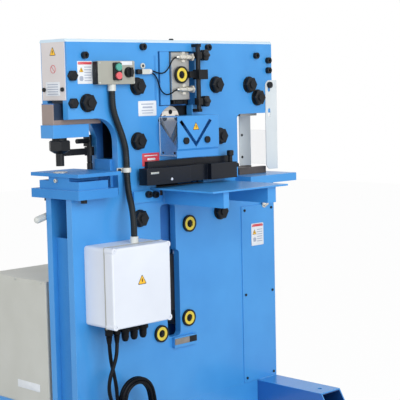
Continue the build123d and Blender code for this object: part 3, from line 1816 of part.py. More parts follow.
os.makedirs("parts", exist_ok=True)
for name, solids in nodes.items():
    pieces = [Pos(0, -anchor_middle, 0) * solid for solid in solids]
    export_step(Compound(children=pieces) if len(pieces) > 1 else pieces[0], f"parts/{name}.step")
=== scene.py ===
"""Looks of the hydraulic ironworker: studio, finishes, cords and the pieces too fine for the solids."""

import logging
import math
from dataclasses import dataclass, replace
from enum import Enum
from typing import Callable, Optional, Sequence

import bmesh
import bpy
from mathutils import Matrix, Vector


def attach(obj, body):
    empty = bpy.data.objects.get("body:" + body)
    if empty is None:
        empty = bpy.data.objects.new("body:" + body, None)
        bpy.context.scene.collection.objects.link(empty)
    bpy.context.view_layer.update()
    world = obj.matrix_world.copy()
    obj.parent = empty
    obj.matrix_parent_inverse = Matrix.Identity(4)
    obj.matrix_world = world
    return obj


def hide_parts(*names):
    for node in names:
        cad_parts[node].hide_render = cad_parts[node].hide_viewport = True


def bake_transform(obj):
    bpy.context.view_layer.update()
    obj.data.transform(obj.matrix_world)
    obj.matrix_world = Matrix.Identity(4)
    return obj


logging.basicConfig(level=logging.INFO, format="%(message)s")
log = logging.getLogger("ironworker")

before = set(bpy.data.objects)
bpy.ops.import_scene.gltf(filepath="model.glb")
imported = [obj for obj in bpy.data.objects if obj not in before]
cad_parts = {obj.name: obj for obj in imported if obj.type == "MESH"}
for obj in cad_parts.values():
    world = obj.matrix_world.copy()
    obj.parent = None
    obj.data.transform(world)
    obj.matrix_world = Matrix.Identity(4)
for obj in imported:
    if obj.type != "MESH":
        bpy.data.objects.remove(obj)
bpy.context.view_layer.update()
MM = 0.001
MIDDLE_Y = 72.5  # the drawing's mid-plane lies this many millimetres in front of the frame's origin
LEFT, RIGHT = Vector((-1, 0, 0)), Vector((1, 0, 0))
TO_FRONT, TO_BACK = Vector((0, -1, 0)), Vector((0, 1, 0))
DOWN, UP = Vector((0, 0, -1)), Vector((0, 0, 1))
WHITE = (1.0, 1.0, 1.0, 1.0)
LOBE_DEPTH = 0.1  # height of a hand knob's lobes, as a share of its radius
MOST_BEVEL = 0.45  # widest broken edge, as a share of a block's least side
SHARP_ANGLE = 32  # degrees between two faces above which their edge stays sharp
NOISE_RANGE = {1: 0.3, 2: 0.7}  # most values of a noise node lie between these
GLOSS_SPREAD = 0.15  # how far the grain changes the roughness, as a share
EDGE_RANGE = {1: 0.995, 2: 0.85, 3: 0.0, 4: 0.9}  # lean of a corner's normal, and its share of edge colour
Point = tuple[float, float, float]
Profile = Sequence[tuple[float, float]]
Piece = bpy.types.Object
Socket = bpy.types.NodeSocket
Tree = bpy.types.NodeTree


def spot(x: float, y: float, z: float) -> Vector:
    """A place of the drawing, in millimetres from its mid-plane, as metres in the shared frame."""
    return Vector((x * MM, (y - MIDDLE_Y) * MM, z * MM))


def spots(points: Sequence[Point]) -> list[Vector]:
    """Several places of the drawing as metres in the shared frame."""
    return [spot(*point) for point in points]


def linear(colour: str) -> tuple[float, float, float, float]:
    """Turn an sRGB hex colour into linear RGBA.

    Args:
        colour: six hex digits with a leading #.

    Returns:
        Linear red, green, blue and an alpha of 1.
    """
    parts = [int(colour[i:i + 2], 16) / 255 for i in (1, 3, 5)]
    values = [c / 12.92 if c <= 0.04045 else ((c + 0.055) / 1.055) ** 2.4 for c in parts]
    return values[0], values[1], values[2], 1.0


def add(tree: Tree, kind: str, settings: Optional[dict] = None,
        links: Optional[dict] = None) -> bpy.types.bpy_prop_collection:
    """Add one shader node.

    Args:
        tree: the node tree that takes it.
        kind: Blender's node type, without its first word ShaderNode.
        settings: values of sockets or properties, by name or socket number.
        links: output sockets that feed its inputs, by name or number.

    Returns:
        The new node's output sockets.
    """
    node = tree.nodes.new("ShaderNode" + kind)
    for name, value in (settings or {}).items():
        if isinstance(name, int) or name in node.inputs:
            node.inputs[name].default_value = value
        else:
            setattr(node, name, value)
    for name, source in (links or {}).items():
        tree.links.new(source, node.inputs[name])
    return node.outputs


def fresh_tree(owner: bpy.types.ID) -> Tree:
    """Turn on the nodes of a material or world and clear them.

    Args:
        owner: the material or world.

    Returns:
        Its empty node tree.
    """
    owner.use_nodes = True
    owner.node_tree.nodes.clear()
    return owner.node_tree


def greatest(tree: Tree, first: Socket, *others: Socket) -> Socket:
    """Find the greatest of several values.

    Args:
        tree: the node tree.
        first: one value.
        others: the other values.

    Returns:
        A socket with the greatest.
    """
    for other in others:
        first = add(tree, "Math", {"operation": "MAXIMUM"}, {0: first, 1: other})[0]
    return first


def paint_over(tree: Tree, share: Socket, under: Socket, colour: str) -> Socket:
    """Lay a hex colour over another by a share."""
    return add(tree, "Mix", {"data_type": "RGBA", 7: linear(colour)}, {0: share, 6: under})[2]


@dataclass(frozen=True)
class Zone:
    """A box of the drawing, in millimetres, where a finish changes colour: where a coat stops, or where
    painted shade or painted light is laid on.
    """

    low: Point
    high: Point
    colour: str

    def mask(self, tree: Tree, place: Socket) -> Socket:
        """Test whether a surface lies in the box.

        Args:
            tree: the finish's node tree.
            place: the surface's place in metres.

        Returns:
            A socket that is 1 inside and 0 outside.
        """
        low, high = spot(*self.low), spot(*self.high)
        off = add(tree, "VectorMath", {"operation": "SUBTRACT", 1: (low + high) / 2}, {0: place})[0]
        share = add(tree, "VectorMath", {"operation": "DIVIDE", 1: (high - low) / 2}, {0: off})[0]
        away = add(tree, "VectorMath", {"operation": "ABSOLUTE"}, {0: share})[0]
        most = greatest(tree, *add(tree, "SeparateXYZ", None, {0: away}))
        return add(tree, "Math", {"operation": "LESS_THAN", 1: 1.0}, {0: most})[0]


@dataclass(frozen=True)
class Finish:
    """One real surface: its colours, its gloss and the marks that its making leaves.

    The grain is the fine relief of the surface and the cloud is its slow change of tone, both sized
    in millimetres. The edge colour shows along worn or thinly coated corners.
    """

    name: str
    colour: str
    tint: str
    rough: float
    metal: float = 0.0
    ior: float = 1.5
    grain_mm: float = 4.0
    depth_mm: float = 0.04
    stretch: Point = (1.0, 1.0, 1.0)
    cloud_mm: float = 160.0
    edge: Optional[str] = None
    edge_mm: float = 1.2
    coat: float = 0.0
    alpha: float = 1.0
    zones: tuple[Zone, ...] = ()

    @staticmethod
    def noise(tree: Tree, size_mm: float, detail: float, place: Socket) -> Socket:
        """Noise of one size, read at a place."""
        return add(tree, "TexNoise", {"Scale": 1 / (size_mm * MM), "Detail": detail}, {"Vector": place})[0]

    def material(self) -> bpy.types.Material:
        """Give the finish as a procedural material, made once.

        Returns:
            The material.
        """
        made = bpy.data.materials.get(self.name)
        if made:
            return made
        made = bpy.data.materials.new(self.name)
        tree = fresh_tree(made)
        place = add(tree, "TexCoord")["Object"]
        lay = add(tree, "Mapping", {"Scale": self.stretch}, {"Vector": place})[0]
        cloud = self.noise(tree, self.cloud_mm, 3.0, place)
        grain = self.noise(tree, self.grain_mm, 2.0, lay)
        tone = add(tree, "MapRange", NOISE_RANGE, {0: cloud})[0]
        tones = {"data_type": "RGBA", 6: linear(self.colour), 7: linear(self.tint)}
        colour = add(tree, "Mix", tones, {0: tone})[2]
        for zone in self.zones:
            colour = paint_over(tree, zone.mask(tree, place), colour, zone.colour)
        if self.edge_mm:
            normal = add(tree, "Bevel", {"samples": 4, "Radius": self.edge_mm * MM})["Normal"]
        else:
            normal = add(tree, "NewGeometry")["Normal"]
        if self.edge:
            flat = add(tree, "NewGeometry")["True Normal"]
            turn = add(tree, "VectorMath", {"operation": "DOT_PRODUCT"}, {0: flat, 1: normal})[1]
            bare = add(tree, "MapRange", EDGE_RANGE, {0: turn})[0]
            worn = add(tree, "Math", {"operation": "MULTIPLY"}, {0: bare, 1: grain})[0]
            colour = paint_over(tree, worn, colour, self.edge)
        rough = {3: self.rough * (1 - GLOSS_SPREAD), 4: self.rough * (1 + GLOSS_SPREAD)}
        gloss = add(tree, "MapRange", {**NOISE_RANGE, **rough}, {0: grain})[0]
        relief = add(tree, "Bump", {"Strength": 0.6, "Distance": self.depth_mm * MM},
                     {"Height": grain, "Normal": normal})[0]
        shader = add(tree, "BsdfPrincipled",
                     {"Metallic": self.metal, "IOR": self.ior, "Coat Weight": self.coat, "Alpha": self.alpha},
                     {"Base Color": colour, "Roughness": gloss, "Normal": relief})[0]
        add(tree, "OutputMaterial", None, {"Surface": shader})
        return made


class Finishes:
    """Every finish of the machine, named for the material and how its surface was made; some also carry
    painted shade or painted light, as their comments say.
    """

    # Sprayed two-pack enamel: faint orange peel, a slow change of tone, corners a shade lighter
    blue = Finish("blue_sprayed_enamel", "#4196da", "#398dd2", 0.36, grain_mm=5, edge="#8fc2f0", coat=0.15)
    # The two side plates: the same enamel, with painted shade where they look at each other round the yoke:
    # near black deep in the frame, deeper blue in the punch throat
    plates = replace(blue, name="blue_sprayed_enamel_side_plate", zones=(
        # painted shade: near black on the inner faces deep in the frame, round the yoke
        Zone((-264, -42.3, 1004), (250, 42.3, 1400), "#141d29"),
        # painted shade: deeper blue on the inner faces in the punch throat
        Zone((-310, -42.3, 880), (-264, 42.3, 1160), "#2b66ab")))
    # The same enamel on the feet, with painted shade: deeper blue on the inner sides, dark navy in the hollow
    feet = replace(blue, name="blue_sprayed_enamel_feet", edge=None, zones=(
        # painted shade on the inner sides of both feet
        Zone((389, -465, 0), (391.6, 540, 98.5), "#1f62ae"),
        Zone((-391.6, -465, 0), (-389, 540, 98.5), "#1f62ae"),
        # painted shade in the hollow of each foot
        Zone((396, -450, 3), (496, -60, 97), "#123f7c"),
        Zone((-496, -450, 3), (-396, -60, 97), "#123f7c")))
    # The lower ends of the plates, between the feet: the same enamel without a worn edge
    skirt = replace(blue, name="blue_sprayed_enamel_skirt", edge=None, edge_mm=0.0)
    # The same enamel, a shade deeper: painted shade on the webs in the throat, the die base and table and the
    # window rib
    painted_shade_blue = Finish("blue_sprayed_enamel_painted_shade", "#3787cd", "#307fc5", 0.55, ior=1.38, grain_mm=5,
                        edge="#8fc2f0")
    # Weld metal under enamel: rippled, as blue as the plate
    weld = Finish("blue_enamel_on_weld", "#3f92d5", "#3686c9", 0.40, grain_mm=3, depth_mm=0.15)
    # Stove enamel on thin sheet: even, satin, a little warm; the top cover's is sprayed and cool
    pale = Finish("pale_grey_stoved_enamel", "#d6d0cf", "#cfc9c8", 0.42, edge="#e6e2e0")
    cabinet = Finish("stone_grey_stoved_enamel", "#c6c7c0", "#bebfb7", 0.45, edge="#d8d9d3")
    ice = Finish("ice_blue_sprayed_enamel", "#cde1ee", "#c2d9e9", 0.42, grain_mm=5, edge="#eaf3f8")
    # Guard of the tool station: pale grey powder coat, finely pebbled
    powder = Finish("pale_grey_powder_coat", "#d5dcdf", "#cbd3d7", 0.48, grain_mm=3, depth_mm=0.06,
                    edge="#e9eef0")
    # Red plate and red marks: even, with a soft shine
    red_plate = Finish("red_stoved_enamel", "#cf3f4a", "#c63945", 0.34, grain_mm=3, depth_mm=0.02,
                       edge="#e08088")
    # Black oxide on steel: near black, dull with oily highlights, bare on the corners
    oxide = Finish("black_oxide_steel", "#0d1116", "#14171b", 0.44, 0.15, ior=1.36, grain_mm=3, depth_mm=0.06,
                   cloud_mm=30, edge="#3a3e44")
    # Hold-down bar: black gloss paint on ground steel, scuffed by stock
    black_paint = Finish("black_gloss_enamel", "#0a0f18", "#111722", 0.32, ior=1.38, grain_mm=6,
                         edge="#3c4552")
    # Ground steel: fine lines along one way, wide soft highlights
    ground = Finish("ground_tool_steel", "#b2b3b2", "#a5a5a2", 0.38, 0.75, grain_mm=2.5, depth_mm=0.03,
                    stretch=(0.05, 1.0, 1.0), cloud_mm=60, edge="#dcdcda")
    # Blades in use: greasy, a little brown, hardly shining; painted light where they sit back in the hole in
    # the guard's shade
    greased = Finish("greased_tool_steel", "#cbc3b7", "#bab2a6", 0.48, 0.15, grain_mm=5, depth_mm=0.05,
                     cloud_mm=35, edge="#ddd7cd",
                     # painted light: near-white beige on the lower blade, set against the guard's shade
                     zones=(Zone((-120, -90, 1040), (70, 60, 1163), "#f8efe0"),))
    # Flat bar worn by stock: scale rubbed to a grey-brown sheen
    worn = Finish("worn_mill_scale_steel", "#8b8680", "#7d7872", 0.5, 0.15, grain_mm=5, depth_mm=0.08,
                  cloud_mm=30)
    # Fixed blades and dies: dark from oil and mill scale, blue from the enamel round the angle shear
    scaled = Finish("oiled_forged_steel", "#5d5653", "#4c4744", 0.55, 0.1, ior=1.4, grain_mm=6, depth_mm=0.1,
                    cloud_mm=40, zones=(Zone((-200, -80, 985), (200, 0, 1200), "#3b8dd2"),))
    # Flame-cut yoke: a thin blue coat, bare and brown at the punch end's toe; painted shade: dark navy on the
    # toe's front face between the plates, black behind the angle shear
    oiled = Finish("oiled_mill_scale_steel", "#3475bb", "#2d6bb0", 0.46, 0.1, grain_mm=8, depth_mm=0.12,
                   cloud_mm=45, zones=(Zone((-540, -40, 1120), (-300, 40, 1147), "#8a7b76"),
                                       Zone((-540, -40, 1120), (-531, 40, 1200), "#94857f"),
                                       # painted shade: dark navy on the toe's front face, in the recess
                                       # between the plates
                                       Zone((-531, -40, 1147), (-490, 40, 1220), "#1b2c42"),
                                       # painted shade: near black where the yoke lies deep behind the angle
                                       # shear
                                       Zone((-120, -40, 1060), (130, 40, 1182), "#0b1016")))
    # Plated metal: nickel bright and slightly warm, zinc a cool soft grey, chrome a clear mirror
    nickel = Finish("nickel_plated_brass", "#dcd9d0", "#cfccc2", 0.26, 0.8, grain_mm=1.5, depth_mm=0.01,
                    cloud_mm=25)
    zinc = Finish("zinc_plated_steel", "#c9ccc8", "#b9bdb9", 0.36, 0.7, grain_mm=3, depth_mm=0.02,
                  cloud_mm=20)
    chrome = Finish("hard_chrome_ground", "#d5d6d8", "#cccdd0", 0.12, 1.0, grain_mm=1, depth_mm=0.004)
    # Sand cast iron: dull dark grey with a coarse skin
    cast = Finish("sand_cast_iron", "#4b4c4e", "#3f4042", 0.62, 0.3, grain_mm=3, depth_mm=0.25, cloud_mm=50)
    # Moulded plastics: fine eroded grain, even colour
    yellow = Finish("yellow_moulded_nylon", "#e3cd4c", "#d2ba38", 0.42, ior=1.53, grain_mm=2, cloud_mm=40)
    grey = Finish("warm_grey_moulded_abs", "#a2a298", "#9a9a90", 0.46, ior=1.53, grain_mm=2, edge="#bdbdb3")
    light_grey = Finish("light_grey_moulded_nylon", "#cdd0cb", "#c3c6c1", 0.44, ior=1.53, grain_mm=2)
    white = Finish("white_moulded_abs", "#dce1e9", "#d5dae3", 0.42, ior=1.53, grain_mm=2.5, depth_mm=0.02)
    black = Finish("black_moulded_nylon", "#0e1115", "#14171b", 0.42, ior=1.40, grain_mm=2, edge="#33373d")
    # Screen print and printed film on the marking plates: flat and dull
    ink = Finish("grey_screen_print", "#a6aebf", "#9ea6b8", 0.55, grain_mm=3, depth_mm=0.0, edge_mm=0.0)
    sign_yellow = Finish("yellow_printed_vinyl", "#f2bd2e", "#ecb526", 0.5, grain_mm=3, depth_mm=0.0,
                         edge_mm=0.0)
    # Matt nylon of the glands and the bend reliefs, deeper than the moulded black
    gland = Finish("black_matt_glass_filled_nylon", "#06080b", "#0a0c10", 0.5, ior=1.24, grain_mm=2)
    # Caps of the push buttons: even colour, clear gloss
    green = Finish("green_gloss_moulded_cap", "#4fa392", "#479b8b", 0.26, grain_mm=2, depth_mm=0.01)
    red = Finish("red_gloss_moulded_cap", "#dd6469", "#d45a60", 0.26, grain_mm=2, depth_mm=0.01)
    # Extruded jackets: satin black rubber of the leads, duller polyamide of the conduit
    rubber = Finish("black_extruded_rubber", "#04070d", "#080c13", 0.30, ior=1.21, grain_mm=3, cloud_mm=35)
    ribbed = Finish("dark_ribbed_polyamide", "#0a1318", "#0e181d", 0.42, ior=1.36, grain_mm=3, cloud_mm=50)
    # Clear sheet with light scuffs: mostly seen through, with a blue-grey cast and paler sawn edges
    clear = Finish("clear_cast_polycarbonate", "#d3e2f1", "#c6d8ea", 0.14, ior=1.4, grain_mm=20,
                   depth_mm=0.01, edge_mm=0.0, alpha=0.07)
    sawn = Finish("sawn_polycarbonate_edge", "#c9def0", "#bcd4ea", 0.5, ior=1.45, grain_mm=2, depth_mm=0.05,
                  edge_mm=0.0, alpha=0.7)
    # Blank anodised plates where a maker would fix labels: pale, with a faint metal sheen
    plate = Finish("blank_anodised_plate", "#e0e4e8", "#d7dce1", 0.42, 0.1, grain_mm=2, depth_mm=0.01,
                   cloud_mm=30)


class Shape:
    """A mesh under construction, in metres of the shared frame."""

    def __init__(self) -> None:
        """Start an empty mesh."""
        self.bm = bmesh.new()

    def verts(self, places: Sequence[Vector]) -> list[bmesh.types.BMVert]:
        """New vertices at some places."""
        return [self.bm.verts.new(place) for place in places]

    def bevel(self, edges: list, width: float, segments: int) -> None:
        """Break some edges, to a width in metres."""
        bmesh.ops.bevel(self.bm, geom=edges, offset=width, segments=segments, profile=0.5, affect="EDGES")

    def block(self, low: Vector, high: Vector, bevel: float = 0.6, segments: int = 2) -> "Shape":
        """Add a box with broken edges.

        Args:
            low: its lowest corner.
            high: its highest corner.
            bevel: width of the broken edge in millimetres.
            segments: rows of faces round the edge.

        Returns:
            The shape itself.
        """
        size = high - low
        move = Matrix.Translation((low + high) / 2) @ Matrix.Diagonal((*size, 1.0))
        made = bmesh.ops.create_cube(self.bm, size=1.0, matrix=move)["verts"]
        edges = {edge for vert in made for edge in vert.link_edges}
        self.bevel(list(edges), min(bevel * MM, min(size) * MOST_BEVEL), segments)
        return self

    def lathe(self, profile: Profile, at: Vector, axis: Vector, sides: int = 32, lobes: int = 0) -> "Shape":
        """Add a turned piece.

        Args:
            profile: pairs of distance along the axis and radius, in millimetres.
            at: where the axis starts.
            axis: the direction of the axis.
            sides: faces round the axis; six give a hexagon.
            lobes: lobes of a hand knob round the axis, 0 for a plain round.

        Returns:
            The shape itself.
        """
        spin = axis.to_track_quat("Z", "Y").to_matrix()
        rings = []
        for along, radius in profile:
            ring = []
            for step in range(sides):
                angle = 2 * math.pi * step / sides
                wide = radius * (1 + LOBE_DEPTH * math.cos(lobes * angle)) if lobes else radius
                offset = Vector((wide * math.cos(angle), wide * math.sin(angle), along)) * MM
                ring.append(at + spin @ offset)
            rings.append(self.verts(ring))
        return self.skin(rings)

    def tube(self, points: Sequence[Vector], radius: Callable[[float], float], sides: int = 16) -> "Shape":
        """Add a tube along points.

        Args:
            points: the line it follows.
            radius: radius in millimetres at a distance in millimetres along the line.
            sides: faces round it.

        Returns:
            The shape itself.
        """
        run = 0.0
        side = None
        rings = []
        turns = [2 * math.pi * step / sides for step in range(sides)]
        for i, point in enumerate(points):
            ahead = (points[min(i + 1, len(points) - 1)] - points[max(i - 1, 0)]).normalized()
            side = ahead.orthogonal() if side is None else side - ahead * side.dot(ahead)
            side.normalize()
            other = ahead.cross(side)
            run += (point - points[i - 1]).length / MM if i else 0.0
            size = radius(run) * MM
            ring = [point + size * (math.cos(a) * side + math.sin(a) * other) for a in turns]
            rings.append(self.verts(ring))
        return self.skin(rings)

    def plate(self, corners: Sequence[Vector], lift: Vector, bevel: float = 0.4) -> "Shape":
        """Add a flat plate with broken edges.

        Args:
            corners: its outline on the face that carries it.
            lift: how far and which way it is thick.
            bevel: width of the broken edge in millimetres.

        Returns:
            The shape itself.
        """
        low = self.verts(corners)
        high = self.verts([corner + lift for corner in corners])
        self.bm.faces.new(low)
        lid = self.bm.faces.new(high)
        for i, vert in enumerate(low):
            after = (i + 1) % len(low)
            self.bm.faces.new((vert, low[after], high[after], high[i]))
        self.bevel(list(lid.edges), bevel * MM, 2)
        return self

    def screw(self, at: Vector, axis: Vector, radius: float, height: float) -> "Shape":
        """Add a socket head screw.

        Args:
            at: the middle of its seat.
            axis: the way its head stands out.
            radius: radius of the head in millimetres.
            height: height of the head in millimetres.

        Returns:
            The shape itself.
        """
        hole = radius * 0.52
        profile = [(0, radius * 0.98), (height * 0.1, radius), (height * 0.86, radius),
                   (height, radius * 0.9), (height, hole), (height * 0.5, hole * 0.96), (height * 0.45, 0.2)]
        return self.lathe(profile, at, axis, 24)

    def skin(self, rings: list, capped: bool = True) -> "Shape":
        """Join rings of vertices with faces.

        Args:
            rings: equal rings of vertices, in order.
            capped: whether both ends are closed.

        Returns:
            The shape itself.
        """
        for near, far in zip(rings, rings[1:]):
            for i in range(len(near)):
                after = (i + 1) % len(near)
                self.bm.faces.new((near[i], near[after], far[after], far[i]))
        if capped:
            self.bm.faces.new(list(reversed(rings[0])))
            self.bm.faces.new(rings[-1])
        return self

    def piece(self, name: str, finish: Finish, slot: str, body: Optional[str] = "frame") -> Piece:
        """Turn the mesh into a piece of the machine.

        Args:
            name: the piece's name.
            finish: its finish.
            slot: the record's material slot; not used.
            body: the body it rides on, or None to leave it on no body.

        Returns:
            The new object.
        """
        mesh = bpy.data.meshes.new(name)
        bmesh.ops.recalc_face_normals(self.bm, faces=self.bm.faces)
        self.bm.to_mesh(mesh)
        self.bm.free()
        mesh.shade_smooth()
        mesh.set_sharp_from_angle(angle=math.radians(SHARP_ANGLE))
        return dress(bpy.data.objects.new(name, mesh), finish, body)


def link(thing: bpy.types.Object) -> None:
    """Put an object into the scene."""
    bpy.context.scene.collection.objects.link(thing)


def dress(piece: Piece, finish: Finish, body: Optional[str]) -> Piece:
    """Link a piece into the scene with its finish and body.

    Args:
        piece: the new object.
        finish: its finish.
        body: the body it rides on, or None to leave it on no body.

    Returns:
        The piece itself.
    """
    link(piece)
    piece.data.materials.append(finish.material())
    if body:
        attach(piece, body)
    log.info("piece %s on %s, %s", piece.name, body, finish.name)
    return piece


def screw_set(name: str, places: Sequence[Point], axis: Vector, radius: float, height: float, finish: Finish,
              slot: str, body: str = "frame") -> None:
    """Make equal socket head screws as one piece.

    Args:
        name: the piece's name.
        places: the middles of their seats, in the drawing's millimetres.
        axis: the way their heads stand out.
        radius: radius of a head in millimetres.
        height: height of a head in millimetres.
        finish: their finish.
        slot: the record's material slot.
        body: the body they ride on.
    """
    shape = Shape()
    for place in spots(places):
        shape.screw(place, axis, radius, height)
    shape.piece(name, finish, slot, body)


def route_curve(name: str, points: Sequence[Vector], radius: float = 0.0) -> Piece:
    """Draw a smooth NURBS line with the points as its control points.

    Args:
        name: the curve's name.
        points: control points in metres.
        radius: radius of its round section in millimetres, 0 for a bare line.

    Returns:
        The curve object, not linked to the scene.
    """
    data = bpy.data.curves.new(name, "CURVE")
    data.dimensions = "3D"
    line = data.splines.new("NURBS")
    line.points.add(len(points) - 1)
    for point, place in zip(line.points, points):
        point.co = (*place, 1.0)
    line.order_u = 3
    line.use_endpoint_u = True
    data.resolution_u = 12
    data.bevel_depth = radius * MM
    data.bevel_resolution = 5
    data.use_fill_caps = radius > 0
    return bpy.data.objects.new(name, data)


def line_points(points: Sequence[Vector], steps: int) -> list[Vector]:
    """Read points from the NURBS line of a route.

    Args:
        points: control points in metres.
        steps: points read for each control point.

    Returns:
        The points in order.
    """
    curve = route_curve("route_reading", points)
    curve.data.resolution_u = steps
    mesh = bpy.data.meshes.new_from_object(curve)
    found = [vert.co.copy() for vert in mesh.vertices]
    bpy.data.meshes.remove(mesh)
    bpy.data.objects.remove(curve)
    return found


@dataclass
class Studio:
    """White studio: the photograph's camera, two large soft lamps, an even world and a pale floor."""

    position: Point = (-2.9359, -3.2624, 1.2482)
    azimuth: float = 44.2
    pitch: float = -5.46
    roll: float = -1.27
    lens: float = 106.65
    sensor: float = 36.0
    aim: Point = (0.0, -0.1, 0.75)
    key_power: float = 151.0
    fill_power: float = 60.0
    world_level: float = 0.52
    floor_reach: float = 9.0
    floor_height: float = -0.001
    floor_glow: float = 0.97

    def camera(self) -> None:
        """Place the camera at the photograph's viewpoint."""
        turn, tip, roll = (math.radians(angle) for angle in (self.azimuth, self.pitch, self.roll))
        ahead = Vector((math.sin(turn) * math.cos(tip), math.cos(turn) * math.cos(tip), math.sin(tip)))
        level = Vector((math.cos(turn), -math.sin(turn), 0.0))
        upward = level.cross(ahead)
        right = math.cos(roll) * level + math.sin(roll) * upward
        up = math.cos(roll) * upward - math.sin(roll) * level
        data = bpy.data.cameras.new("photo_camera")
        data.sensor_width = self.sensor
        data.lens = self.lens
        data.clip_end = 60.0
        camera = bpy.data.objects.new("photo_camera", data)
        turned = Matrix((right, up, -ahead)).transposed().to_4x4()
        camera.matrix_world = Matrix.Translation(self.position) @ turned
        link(camera)
        bpy.context.scene.camera = camera

    def lamp(self, name: str, place: Point, power: float, size: float) -> None:
        """Add one soft box aimed at the middle of the machine.

        Args:
            name: the lamp's name.
            place: where it stands, in metres.
            power: its power in watts.
            size: its width in metres.
        """
        data = bpy.data.lights.new(name, "AREA")
        data.energy = power
        data.size = size
        lamp = bpy.data.objects.new(name, data)
        aim = Vector(self.aim) - Vector(place)
        lamp.matrix_world = Matrix.Translation(place) @ aim.to_track_quat("-Z", "Y").to_matrix().to_4x4()
        link(lamp)

    def lights(self) -> None:
        """Two soft boxes: one before the front plate, one at the punch end."""
        self.lamp("front_soft_box", (-0.9, -4.4, 2.4), self.key_power, 3.2)
        self.lamp("end_soft_box", (-4.4, -0.6, 2.2), self.fill_power, 3.0)

    @staticmethod
    def seen(tree: Tree) -> Socket:
        """A socket that is 1 where the camera, gloss or glass sees a surface."""
        path = add(tree, "LightPath")
        return greatest(tree, *(path[f"Is {ray} Ray"] for ray in ("Camera", "Glossy", "Transmission")))

    def world(self) -> None:
        """Even white surroundings, full white where the camera, gloss and glass see them."""
        world = bpy.data.worlds.new("white_studio")
        tree = fresh_tree(world)
        level = add(tree, "MapRange", {3: self.world_level, 4: 1.0}, {0: self.seen(tree)})[0]
        back = add(tree, "Background", {"Color": WHITE}, {"Strength": level})[0]
        add(tree, "OutputWorld", None, {"Surface": back})
        bpy.context.scene.world = world

    def floor(self) -> None:
        """A pale floor that reads as white and keeps a soft shadow."""
        mesh = bpy.data.meshes.new("studio_floor")
        ways = ((-1, -1), (1, -1), (1, 1), (-1, 1))
        corners = [(x * self.floor_reach, y * self.floor_reach, self.floor_height) for x, y in ways]
        mesh.from_pydata(corners, [], [(0, 1, 2, 3)])
        floor = bpy.data.objects.new("studio_floor", mesh)
        link(floor)
        # Matt floor paint: nearly white, and mostly glowing white to the eye so that it has no horizon
        paint = bpy.data.materials.new("matt_white_floor_paint")
        tree = fresh_tree(paint)
        share = add(tree, "Math", {"operation": "MULTIPLY", 1: self.floor_glow}, {0: self.seen(tree)})[0]
        matt = add(tree, "BsdfDiffuse", {"Color": linear("#dde0e4")})[0]
        glow = add(tree, "Emission", {"Color": WHITE, "Strength": 1.0})[0]
        both = add(tree, "MixShader", None, {0: share, 1: matt, 2: glow})[0]
        add(tree, "OutputMaterial", None, {"Surface": both})
        mesh.materials.append(paint)

    def build(self) -> None:
        """Set up camera, lamps, surroundings, floor and the plain view transform."""
        self.camera()
        self.lights()
        self.world()
        self.floor()
        bpy.context.scene.view_settings.view_transform = "Standard"


@dataclass
class Coat:
    """Gives every solid that is carried over its finish."""

    groups: tuple[tuple[Finish, str], ...] = (
        (Finishes.plates, "front_side_plate rear_side_plate"),
        (Finishes.feet, "foot_beams"),
        (Finishes.blue, "front_panels shear_table table_arms angle_guard tool_table punch_holder "
                        "power_unit_base guide_gibs"),
        # painted shade: the webs, die base and die table in the deeper blue
        (Finishes.painted_shade_blue, "frame_webs die_base die_table"),
        (Finishes.pale, "punch_end_cover"),
        (Finishes.cabinet, "power_unit_cabinet"),
        (Finishes.ice, "top_cover"),
        (Finishes.powder, "tool_guard"),
        (Finishes.oxide, "tie_bolts small_screws grease_bezels ram_pin_cap punch_set stripper_post "
                         "stripper_arm follower stroke_rod hold_screw"),
        (Finishes.black_paint, "hold_down"),
        (Finishes.ground, "yoke_blocks punch_die"),
        (Finishes.greased, "moving_blades"),
        (Finishes.scaled, "fixed_blades tool_die"),
        (Finishes.oiled, "yoke"),
        (Finishes.nickel, "stroke_sensors"),
        (Finishes.light_grey, "rear_lever conduit_fittings"),
        (Finishes.chrome, "piston_rod"),
        (Finishes.cast, "cylinder_barrel power_pack"),
        (Finishes.yellow, "grease_rings ram_pin_ring"),
        (Finishes.clear, "angle_guard_window tool_guard_window"),
        (Finishes.grey, "button_box"),
        (Finishes.white, "electric_box"),
        (Finishes.gland, "cable_glands"),
        (Finishes.black, "button_bezels selector_knob upper_dog lower_dog"),
        (Finishes.green, "start_button"),
        (Finishes.red, "stop_button"),
    )

    def build(self) -> None:
        """Put each finish into the material slots of its nodes."""
        for finish, names in self.groups:
            for name in names.split():
                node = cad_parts[name]
                if not node.material_slots:
                    node.data.materials.append(None)
                for holder in node.material_slots:
                    holder.material = finish.material()
                log.info("node %s: %s", name, finish.name)


